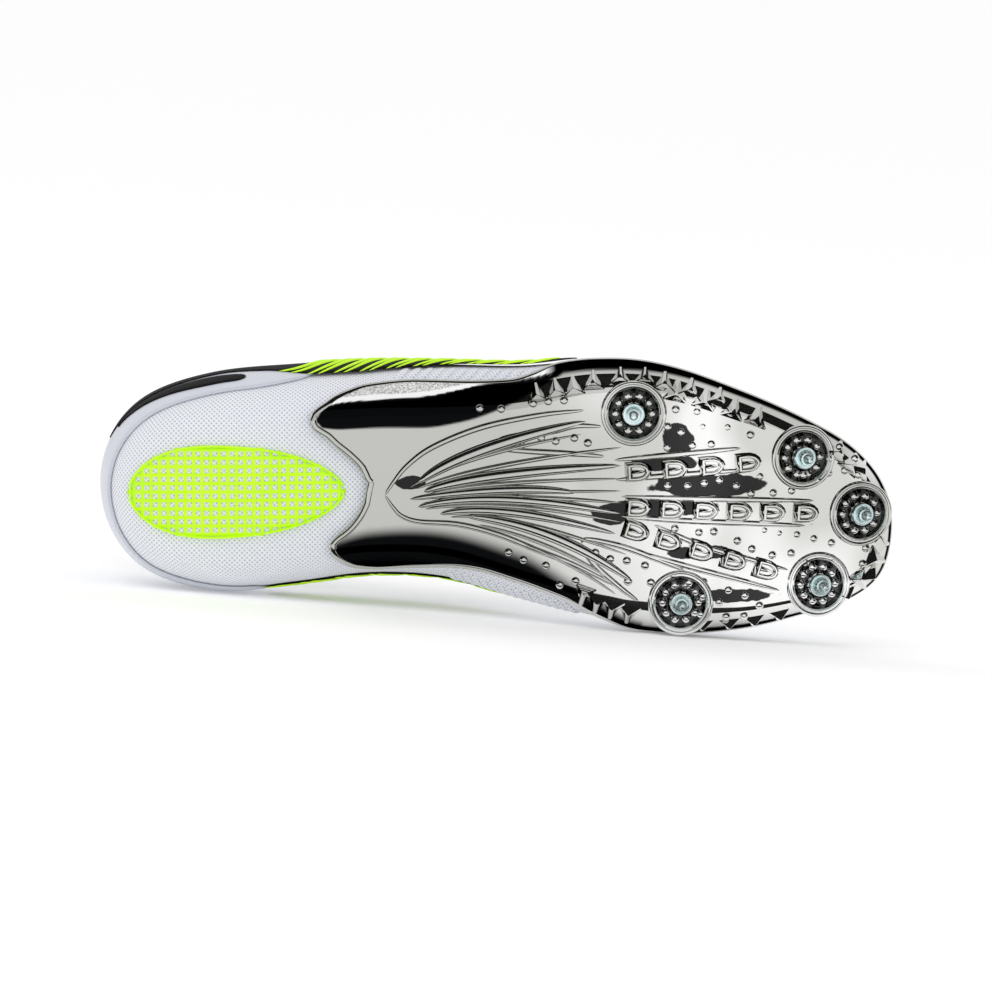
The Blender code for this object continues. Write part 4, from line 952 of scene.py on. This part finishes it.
# Lining: a dark knit bonded to the inside of the upper, from the insole to the collar. It is matt,
# with the soft sheen of brushed loops.
lining, add = material("lining_knit", {"Base Color": "#25272c", "Roughness": 0.9, "Sheen Weight": 0.4})
add("Bump", 0.7, 0.2 * mm, None, hatch(add, 1.4 * mm), to="Normal")
lining_gap, lining_eyelet_hole, toe_part, toe_top = 0.1 * mm, 2.6 * mm, 2.5, 2.9
ring = np.linspace(0, RING, 449)[::2]
ones = np.ones_like(ring)
inner_top = np.where(np.abs(ring - TOE) < toe_part, toe_top, edge_level(ring))
levels = np.concatenate([even(1.1 * ones, 2 * ones, 8), even(2 * ones, inner_top, 20)[1:]])
points = off_surface(ring[None], levels, -upper_wall - lining_gap)
inside = without_eyelets(sheet(points, thread_uv(points, ring), flip=True), lining_eyelet_hole)
piece("collar_lining", [inside], lining)

# Collar binding: a narrow tape rolled over the top line and sewn on, from one end of the throat to
# the other. Its ribs cross it, 0.9 mm apart.
binding, add = material("binding_tape", {"Roughness": 0.7})
ribs = wave(add, unrolled(add)[0], 0.9 * mm)
add("Mix", ribs, "#b9bdc9", "#d6d9e2", data_type="RGBA", to="Base Color")
add("Bump", 0.6, 0.1 * mm, None, ribs, to="Normal")
binding_width, binding_height, binding_sink = 3.0 * mm, 1.3 * mm, 0.4 * mm
round_heel = np.linspace(-THROAT_REAR + 0.05, THROAT_REAR - 0.05, 240)
path = off_surface(round_heel, edge_level(round_heel), -upper_wall / 2)
tape = ribbon(path, -down(path), binding_width, binding_height, 8, binding_sink)
piece("collar_binding", [tape], binding)

# Heel film: a smooth grey film of soft plastic, pressed on over the mesh round the heel to stiffen
# it. It is a little glossy and mottled at 30 mm, with a grain of about 1 mm that hardly shows.
film, add = material("grey_film", {"Roughness": 0.35})
spot = add("TexCoord", out=3)
add("Mix", add("TexNoise", spot, 0.035 / mm, 3.0), "#c8cbd6", "#dadde5", data_type="RGBA", to="Base Color")
add("Bump", 0.6, 0.03 * mm, None, add("TexNoise", spot, 0.9 / mm, 2.0), to="Normal")
heel_film_wall = 0.9 * mm


def layer(rows, count, lift, columns=160):
    """A sheet on the upper between the low and high levels of a table along the ring."""
    ring = np.linspace(rows[0].x, rows[-1].x, columns)
    levels = even(through(rows, "low", ring), through(rows, "high", ring), count)
    points = off_surface(ring[None, :], levels, lift)
    return sheet(points, thread_uv(points, ring))


HEEL_FILM = table(
    "x low high",
    (-3.70, 1.97, 2.03), (-3.45, 1.66, 2.28), (-2.8, 1.58, 2.37), (-2.0, 1.56, 2.37), (0.0, 1.52, 2.30),
    (2.0, 1.52, 2.30), (3.3, 1.53, 2.29), (4.0, 1.64, 2.22), (4.4, 1.88, 1.98),
)
piece("heel_film", [layer(HEEL_FILM, 14, gap)], film, ["heel_counter"], wall=heel_film_wall)

# Black quarters: thin black knit on both sides of the waist, and a strip at the heel, bonded on the
# mesh and the film. The knit swallows light, so its gloss is low.
black_knit, add = material("black_knit", {
    "Base Color": "#0b0c0f", "Roughness": 0.7, "Specular IOR Level": 0.2,
})
add("Bump", 0.8, 0.15 * mm, None, hatch(add, 1.2 * mm), to="Normal")
black_wall, over_film, over_mesh = 0.3 * mm, gap + 1.0 * mm, 0.5 * mm
BLACK_LATERAL = table(
    "x low high",
    (0.9, 1.93, 1.96), (1.3, 1.90, 2.06), (2.0, 1.90, 2.16), (3.0, 1.90, 2.22), (3.6, 1.84, 2.26),
    (4.2, 1.69, 2.30), (4.7, 1.69, 2.28), (5.4, 1.77, 2.26), (6.3, 1.88, 2.18), (7.3, 1.90, 2.08),
    (7.8, 1.97, 2.00),
)
BLACK_MEDIAL = table(
    "x low high",
    (20.9, 2.02, 2.04), (21.6, 1.90, 2.14), (22.6, 1.78, 2.22), (23.5, 1.72, 2.24), (24.2, 1.80, 2.16),
    (24.7, 1.94, 1.98),
)
HEEL_STRIP = table(
    "x low high",
    (1.2, 1.82, 1.84), (1.7, 1.76, 1.855), (2.3, 1.70, 1.855), (2.9, 1.66, 1.84), (3.2, 1.66, 1.81),
    (3.3, 1.68, 1.79), (3.35, 1.72, 1.75),
)
black = [layer(BLACK_LATERAL, 14, over_film), layer(BLACK_MEDIAL, 14, over_mesh)]
black.append(layer(HEEL_STRIP, 5, over_film, 80))
piece("quarter_black", black, black_knit, wall=black_wall)

# Strands: lime cords laid in slanted pairs over the black knit and sewn down at their ends, as
# plain stripes that get finer towards the toe. The fluorescent dye's brightness is a painted glow,
# a faint light of the cord's own, and its twist is drawn 0.8 mm apart.
# Painted glow: the fluorescent parts give a faint lime light of their own, though they are no lamps.
FLUORESCENT_PAINTED_GLOW = {"Emission Color": "#c8ff00", "Emission Strength": 0.12}
lime, add = material("lime_cord", {"Roughness": 0.45, **FLUORESCENT_PAINTED_GLOW})
tints = add("TexNoise", add("TexCoord", out=3), 0.2 / mm, 3.0)
add("Mix", tints, "#bcf500", "#d2ff10", data_type="RGBA", to="Base Color")
add("Bump", 0.5, 0.05 * mm, None, wave(add, unrolled(add)[0], 0.8 * mm), to="Normal")
STRANDS = table(
    "under first last count lift",
    (BLACK_LATERAL, 3.75, 7.2, 20, over_film), (BLACK_MEDIAL, 24.3, 21.3, 14, over_mesh),
)
strand_width, strand_lift, pair_gap = 1.45 * mm, 0.25 * mm, 0.15
strands = []
s = np.linspace(0, 1, 24)
for row in STRANDS:
    for k in range(row.count):
        share = k / (row.count - 1)
        in_pair = pair_gap * (1 - 0.3 * share) * (k % 2)
        at = row.first + (row.last - row.first) * (k // 2 * 2) / (row.count - 1) + in_pair
        where = at + (0.85 - 0.4 * share) * np.sign(row.last - row.first) * s**0.8
        low, high = through(row.under, "low", where), through(row.under, "high", where)
        level = low - 0.02 + (high - low + 0.03) * s
        width = strand_width * tapered(s, 0.35, 0.1) * (1 - 0.3 * share)
        path = off_surface(where, level, row.lift + strand_lift)
        strands.append(ribbon(path, normal(where, level), width, 0.55 * width, 6))
piece("lime_strands", strands, lime)

# Side ribs: soft slanted folds below the black knit, where the stretched mesh gathers towards the
# plate. They are the mesh itself, raised under a millimetre.
RIB_ROWS = table("first step low high way", (5.3, 0.155, 1.50, 1.86, 1), (22.0, -0.115, 1.42, 1.92, -1))
ribs_per_side, rib_width, rib_height, rib_slant = 15, 3.3 * mm, 0.95 * mm, 0.22
ribs = []
s = np.linspace(0, 1, 20)
swell = tapered(s, 0.7, 0.04)
for k in range(ribs_per_side):
    for row in RIB_ROWS:
        where = row.first + row.step * k + rib_slant * s * row.way
        level = row.low + (row.high - row.low) * s
        path = off_surface(where, level, 0.0)
        ribs.append(ribbon(path, normal(where, level), rib_width * swell, rib_height * swell, 6))
piece("side_ribs", ribs, weave)

# Heel pad: an oval lattice of soft lime rubber with square openings, inside a narrow rim, moulded
# in one and glued under the heel. Rubber with fluorescent dye looks bright and even, hardly glossy,
# with a fine grain of under 1 mm; its brightness is partly a painted glow of its own.
rubber, add = material("lime_rubber", {"Roughness": 0.5, **FLUORESCENT_PAINTED_GLOW})
spot = add("TexCoord", out=3)
add("Mix", add("TexNoise", spot, 0.12 / mm, 3.0), "#b0f000", "#d4ff08", data_type="RGBA", to="Base Color")
add("Bump", 0.5, 0.03 * mm, None, add("TexNoise", spot, 1.5 / mm, 2.0), to="Normal")
pad_x, pad_half, pad_side, pad_wall = 49 * mm, 38.1 * mm, 16.5 * mm, 1.3 * mm
bar_pitch, bar, bar_end, rim_width, rim_inset = 3.0 * mm, 1.2 * mm, 0.5 * mm, 0.8 * mm, 0.7 * mm


def pad_width(x):
    c = np.clip((x - pad_x) / pad_half, -1, 1)
    return pad_side * (1 - np.abs(c) ** 2.4) ** 0.55 * (1 - 0.17 * c)


def lattice_lines(half):
    """Where the edges of the bars run, two for each bar."""
    count = int(half / bar_pitch) + 1
    centres = np.arange(-count, count + 1) * bar_pitch
    return np.sort(np.concatenate([centres - bar / 2, centres + bar / 2]))


xs, ys = lattice_lines(pad_half) + pad_x, lattice_lines(pad_side)
grid_x, grid_y = np.meshgrid(xs, ys, indexing="ij")
points, faces, uv = sheet(np.stack([grid_x, grid_y, sole_level(grid_x) - gap], -1))
kept = []
for face in faces:
    middle = points[face].mean(0)
    opening = np.searchsorted(xs, middle[0]) % 2 == 0 and np.searchsorted(ys, middle[1]) % 2 == 0
    if not opening and abs(middle[1]) < pad_width(middle[0]) - bar_end:
        kept.append(face[::-1])
turn = np.linspace(0, 2 * pi, 121)
rim_x = pad_x + (pad_half - rim_inset) * np.cos(turn)
rim_y = np.maximum(pad_width(rim_x) - rim_inset, 0) * np.sign(np.sin(turn))
rim_path = np.stack([rim_x, rim_y, sole_level(rim_x) - gap], -1)
piece("pad_lattice", [(points, kept, uv)], rubber, ["heel_pad"], wall=pad_wall)
piece("pad_rim", [ribbon(rim_path, down(rim_path), rim_width, 0.9 * pad_wall, 6)], rubber)

# Eyestay: a thin U of black film round the throat, punched for the laces and sewn on along both of
# its edges. The film is semi-matt, with a fine leathery grain of under 1 mm.
eyestay_film, add = material("eyestay_film", {"Base Color": "#1b1d21", "Roughness": 0.5})
grain = add("TexNoise", add("TexCoord", out=3), 1.2 / mm, 2.0)
add("Bump", 0.6, 0.04 * mm, None, grain, to="Normal")
eyestay_width, eyestay_wall, eyestay_lift = 12.5 * mm, 0.9 * mm, 2 * gap
eyestay_front = throat_front_x + eyestay_width * 0.8
STITCH_ROWS = (0.12, 0.88)


def eyestay_outer(ring):
    spine, _, reach = rib_frame(ring)
    ahead = np.clip((eyestay_front - spine[..., 0]) / (eyestay_width * 1.6), 0, 1)
    half = (throat_half(spine[..., 0]) + eyestay_width) * np.sqrt(1 - (1 - ahead) ** 2)
    return level_at_reach(ring, np.maximum(half, eyestay_width / 8) / reach)


parts, stitch_lines = [], []
for medial in (False, True):
    side = np.linspace(THROAT_REAR - 0.5, float(ring_at(eyestay_front)), 110)
    ring = RING - side if medial else side
    outer, inner = eyestay_outer(ring), edge_level(ring, eyestay_lift)
    points = off_surface(ring[None, :], even(outer, inner, 12), eyestay_lift)
    parts.append(without_eyelets(sheet(points, thread_uv(points, ring), flip=medial), eyelet_hole))
    stitch_lines += [(ring[3:-4], (outer + (inner - outer) * share)[3:-4]) for share in STITCH_ROWS]
piece("eyestay_film", parts, eyestay_film, ["eyestay"], weld=5e-5, wall=eyestay_wall)

# Stitches: short runs of pale polyester thread that hold the eyestay, sewn through film and mesh.
# The thread has a slight lustre and its twist shows as fine ribs.
thread, add = material("sewing_thread", {"Base Color": "#c9ccd4", "Roughness": 0.6})
add("Bump", 0.6, 0.05 * mm, None, wave(add, unrolled(add)[0], 0.4 * mm), to="Normal")
stitch_length, stitch_pitch, stitch_width, stitch_height = 2.2 * mm, 3.0 * mm, 0.55 * mm, 0.3 * mm
swell = np.array([0.3, 0.9, 1.0, 0.9, 0.3])
stitches = []
for ring, level in stitch_lines:
    path = off_surface(ring, level, eyestay_lift + eyestay_wall)
    run = distance_along(path)
    for start in np.arange(0, run[-1] - stitch_length, stitch_pitch):
        at = np.linspace(start, start + stitch_length, 5)
        spots = np.stack([np.interp(at, run, path[:, k]) for k in range(3)], -1)
        ups = normal(np.interp(at, run, ring), np.interp(at, run, level))
        stitches.append(ribbon(spots, ups, stitch_width * swell, stitch_height * swell, 4))
piece("eyestay_stitches", stitches, thread)

# Eyelet rings: small rolled rings of the same film, pressed round each punched hole so that the
# laces don't tear it.
RING_PROFILE = [(1.75, -2.6), (1.75, 0.1), (1.95, 0.35), (2.4, 0.4), (3.0, 0.25), (3.15, -0.05)]
rings = []
for x, aside in EYELETS:
    for way in (-1, 1):
        spot, up = over_throat(x, way * aside, eyestay_lift + eyestay_wall)
        seat = Vector((0, 0, 1)).rotation_difference(Vector(up.tolist())).to_matrix().to_4x4()
        seat.translation = Vector(spot.tolist())
        rings.append(turned(RING_PROFILE, 28, seat))
piece("eyelet_rings", rings, eyestay_film)

# Tongue: a strip of foam covered with black knitted textile, sewn in under the front of the throat,
# with a rounded tab that stands up above the laces. The cloth is matt with a soft sheen.
tongue_cloth, add = material("tongue_textile", {
    "Base Color": "#1a1c20", "Roughness": 0.85, "Sheen Weight": 0.4,
})
add("Bump", 0.9, 0.25 * mm, None, hatch(add, 1.6 * mm), to="Normal")
tongue_wall, tongue_overlap, tongue_tab, tongue_ease = 2.8 * mm, 8.5 * mm, 24 * mm, 0.6 * mm
tongue_toe_reach, tab_lift, tab_spread, tab_rounding = 10 * mm, 0.12, 0.45, 0.28
tongue_depth = -(upper_wall + gap + tongue_ease)
front = float(ring_at(throat_front_x + tongue_toe_reach))
stations = np.interp(np.linspace(front, THROAT_REAR, 50), np.arange(TOE + 1), COLUMNS["spine"][: TOE + 1])
rows = []
for x in stations:
    near_front = np.clip((stations[0] + tongue_toe_reach / 2 - x) / (2 * tongue_toe_reach), 0, 1)
    hidden = smooth_step(stations[-1], stations[-1] + 2 * tongue_overlap, x)
    wide = throat_half(min(x, throat_front_x - throat_rounding)) + tongue_overlap * (1.15 * hidden - 0.15)
    half = float(wide * np.sqrt(1 - (1 - near_front) ** 2))
    rows.append([over_throat(x, aside, tongue_depth)[0] for aside in np.linspace(-half, half, 21)])
rows = np.array(rows)
last = rows[-1]
back = last[10] - rows[-6][10]
back /= np.linalg.norm(back)
tab = []
for share in np.linspace(0.06, 1.0, 18):
    lifted = last + back * tongue_tab * share + np.array([0, 0, tab_lift * tongue_tab]) * share**2
    rounded = np.sqrt(max(1 - max(share - 1 + tab_rounding, 0) ** 2 / tab_rounding**2, 0.04))
    spread = np.array([1, 1 + tab_spread * share, 1 + tab_spread * share])
    tab.append(lifted[10] + (lifted - lifted[10]) * spread * rounded)
top = np.concatenate([rows, tab])
up = np.cross(np.gradient(top, axis=0), np.gradient(top, axis=1))
up /= np.linalg.norm(up, axis=2, keepdims=True) + 1e-12
up *= np.sign(up[..., 2:].mean())
across = np.linspace(-1, 1, 21)[None, :, None]
along = np.linspace(-1, 1, len(top))[:, None, None]
plump = np.sqrt(np.clip(1 - across**8, 0, 1)) * np.sqrt(np.clip(1 - along**40, 0, 1))
middle, swell = top - up * tongue_wall / 2, up * tongue_wall / 2 * plump
shapes = [sheet(middle + swell, top[..., :2]), sheet(middle - swell, top[..., :2], flip=True)]
if np.cross(top[1, 10] - top[0, 10], top[0, 11] - top[0, 10])[2] > 0:
    shapes = [(points, [face[::-1] for face in faces], uv) for points, faces, uv in shapes]
tongue_pad = piece("tongue_pad", shapes, tongue_cloth, ["tongue"], sharp=60)

# Laces: flat woven polyester bars that come up through one eyelet, cross over the tongue and dive
# into the next. The weave is a herringbone of pale threads, drawn at 1.1 mm so that it shows.
lace_cloth, add = material("lace_weave", {"Roughness": 0.8})
u, v = unrolled(add)
slanted = add("Math", u, add("Math", v, operation="ABSOLUTE"), operation="ADD")
herring = wave(add, slanted, 1.1 * mm)
add("Mix", herring, "#c3c8d4", "#eef0f5", data_type="RGBA", to="Base Color")
add("Bump", 0.8, 0.15 * mm, None, herring, to="Normal")
lace_width, lace_thickness, lace_underside, lace_dive = 5.6 * mm, 1.2 * mm, 0.12 * mm, 1.2 * mm


def lace_bar(start, end, lift):
    """A bar from one eyelet to another. lift says how many thicknesses it lies above the others."""
    height = 4 * gap + eyestay_wall + lift * lace_thickness
    s = np.linspace(-0.01, 1.01, 40)
    rise = np.clip(np.minimum(s + 0.02, 1.02 - s) / 0.13, 0, 1) ** 0.6
    spots, ups = [], []
    for share, up_share in zip(np.clip(s, 0, 1).tolist(), rise.tolist()):
        x, aside = (a * (1 - share) + b * share for a, b in zip(start, end))
        spot, up = over_throat(x, aside, -lace_dive + (height + lace_dive) * up_share)
        spots.append(spot)
        ups.append(up)
    width = lace_width * (0.55 + 0.45 * rise)
    points, faces, uv = ribbon(spots, ups, width, lace_underside, 2)
    return [ribbon(spots, ups, width, lace_thickness, 8), (points, [face[::-1] for face in faces], uv)]


bars = lace_bar((EYELETS[0][0], -EYELETS[0][1]), EYELETS[0], 0.3)
for near, far in zip(EYELETS, EYELETS[1:]):
    bars += lace_bar((near[0], -near[1]), far, 0.0)
    bars += lace_bar(near, (far[0], -far[1]), 0.7)
piece("lace_bars", bars, lace_cloth, ["laces"], sharp=60, weld=0)

# Insole: a thin sheet of foam with a dark textile top, laid loose inside the shoe. It is thicker
# under the heel, and its edge turns up a little.
insole_cloth, add = material("insole_textile", {"Base Color": "#2a2c31", "Roughness": 0.9})
add("Bump", 0.7, 0.2 * mm, None, hatch(add, 1.8 * mm), to="Normal")
insole_heel, insole_toe, insole_inset = 5.5 * mm, 3.0 * mm, 2.2 * mm
insole_cup, edge_round = 0.8 * mm, 0.5 * mm
ring = np.linspace(0, RING, 225)
spine, side, reach = rib_frame(ring)
edge = on_ring("foot", ring) - insole_inset / reach
out = np.linspace(0, 1, 14)[:, None]
plan = spine[None] + (out * edge)[..., None] * (side - spine)[None]
floor = sole_level(plan[..., 0]) + upper_wall + gap
thick = insole_heel + (insole_toe - insole_heel) * smooth_step(0.3, 0.65, plan[..., 0] / shoe_length)
cup = insole_cup * smooth_step(0.8, 1.0, out) - edge_round * smooth_step(0.97, 1.0, out)
below = np.concatenate([plan, floor[..., None]], -1)
above = np.concatenate([plan, (floor + thick + cup)[..., None]], -1)
foam = sheet(np.concatenate([below, above[::-1]]))
piece("insole_sheet", [foam], insole_cloth, ["insole"], weld=2e-5)

# Studio: a wide pale matt floor, an even white sky and two large soft lamps, as for a photo of a
# product on white. The floor shines a little by itself so that it stays white.
floor_paint, _ = material("pale_floor", {
    "Base Color": "#f6f6f6", "Roughness": 0.9, "Emission Color": "#ffffff", "Emission Strength": 0.2,
})
floor_half, floor_depth, sky_strength = 30, -0.2 * mm, 0.84
LIGHTS = table(
    "name x y z width height watts",
    ("key_above", -0.8, -1.2, 2.0, 1.6, 1.2, 7), ("fill_right", 1.8, -0.9, 1.4, 0.9, 1.2, 3),
)


def staged(name, points, paint):
    spots, faces, _ = sheet(points)
    mesh = bpy.data.meshes.new(name)
    mesh.from_pydata(spots.tolist(), [], faces)
    mesh.materials.append(paint)
    made = shown(name, mesh)
    return made


def flat_sheet(x, y, z):
    grid = np.meshgrid(x, y, indexing="ij")
    return np.stack([*grid, np.full((2, 2), z)], -1)


floor_ends = (-floor_half, floor_half)
staged("studio_floor", flat_sheet(floor_ends, floor_ends, floor_depth), floor_paint)
world = bpy.data.worlds.new("studio")
bpy.context.scene.world = world
bpy.context.scene.view_settings.view_transform = "Standard"
world.use_nodes = True
world.node_tree.nodes["Background"].inputs["Color"].default_value = colour("#ffffff")
world.node_tree.nodes["Background"].inputs["Strength"].default_value = sky_strength
centre = LAID @ Vector((shoe_length / 2, 0.0, 20 * mm))
for row in LIGHTS:
    lamp = bpy.data.lights.new(row.name, "AREA")
    lamp.shape, lamp.size, lamp.size_y, lamp.energy = "RECTANGLE", row.width, row.height, row.watts
    light = shown(row.name, lamp)
    light.location = (row.x, row.y, row.z)
    light.rotation_euler = (centre - light.location).to_track_quat("-Z", "Y").to_euler()

# Dark hood and strip: black cards round the camera and on the floor before the sole. Only what
# shines shows them, and they draw the dark edges of the chrome's forms.
card_paint, _ = material("card_black", {"Base Color": "#030303", "Roughness": 0.9})
hood_radius, hood_opening, hood_toe_opening, hood_edge = 0.8, 26, 14, 86
strip_ends, strip_sides, strip_height = (-0.5, 0.5), (-0.088, -0.049), 0.4 * mm


def unseen_card(name, points):
    card = staged(name, points, card_paint)
    for way in ("camera", "diffuse", "shadow", "transmission"):
        setattr(card, "visible_" + way, False)


turn = np.linspace(0, 2 * pi, 73)[None]
opening = hood_opening + hood_toe_opening * np.clip(np.cos(turn), 0, 1)
polar = np.radians(opening + np.linspace(0, 1, 14)[:, None] * (hood_edge - opening))
hood = hood_radius * np.stack(np.broadcast_arrays(
    np.sin(polar) * np.cos(turn), -np.cos(polar), np.sin(polar) * np.sin(turn)
), -1)
unseen_card("dark_hood", hood + np.array(centre))
unseen_card("dark_strip", flat_sheet(strip_ends, strip_sides, strip_height))

# Camera: far from the shoe with a long lens, as in a product photo. It looks at the sole from 8
# degrees off its normal, towards the lateral side, level with the shoe's length.
tilt, distance, frame_width = radians(8), 3.0, 0.3482
lens = bpy.data.cameras.new("camera")
camera = shown("camera", lens)
laid_turn = LAID.to_3x3()
away, right = laid_turn @ Vector((0, -sin(tilt), -cos(tilt))), laid_turn @ Vector((1, 0, 0))
aim = LAID @ Vector((140.05 * mm, 1.4 * mm, 0.0))
looking = Matrix((right, away.cross(right), away)).transposed().to_4x4()
camera.matrix_world = Matrix.Translation(aim + away * distance) @ looking
lens.sensor_width = 36
lens.lens = lens.sensor_width * distance / frame_width
lens.clip_end = 100
bpy.context.scene.camera = camera
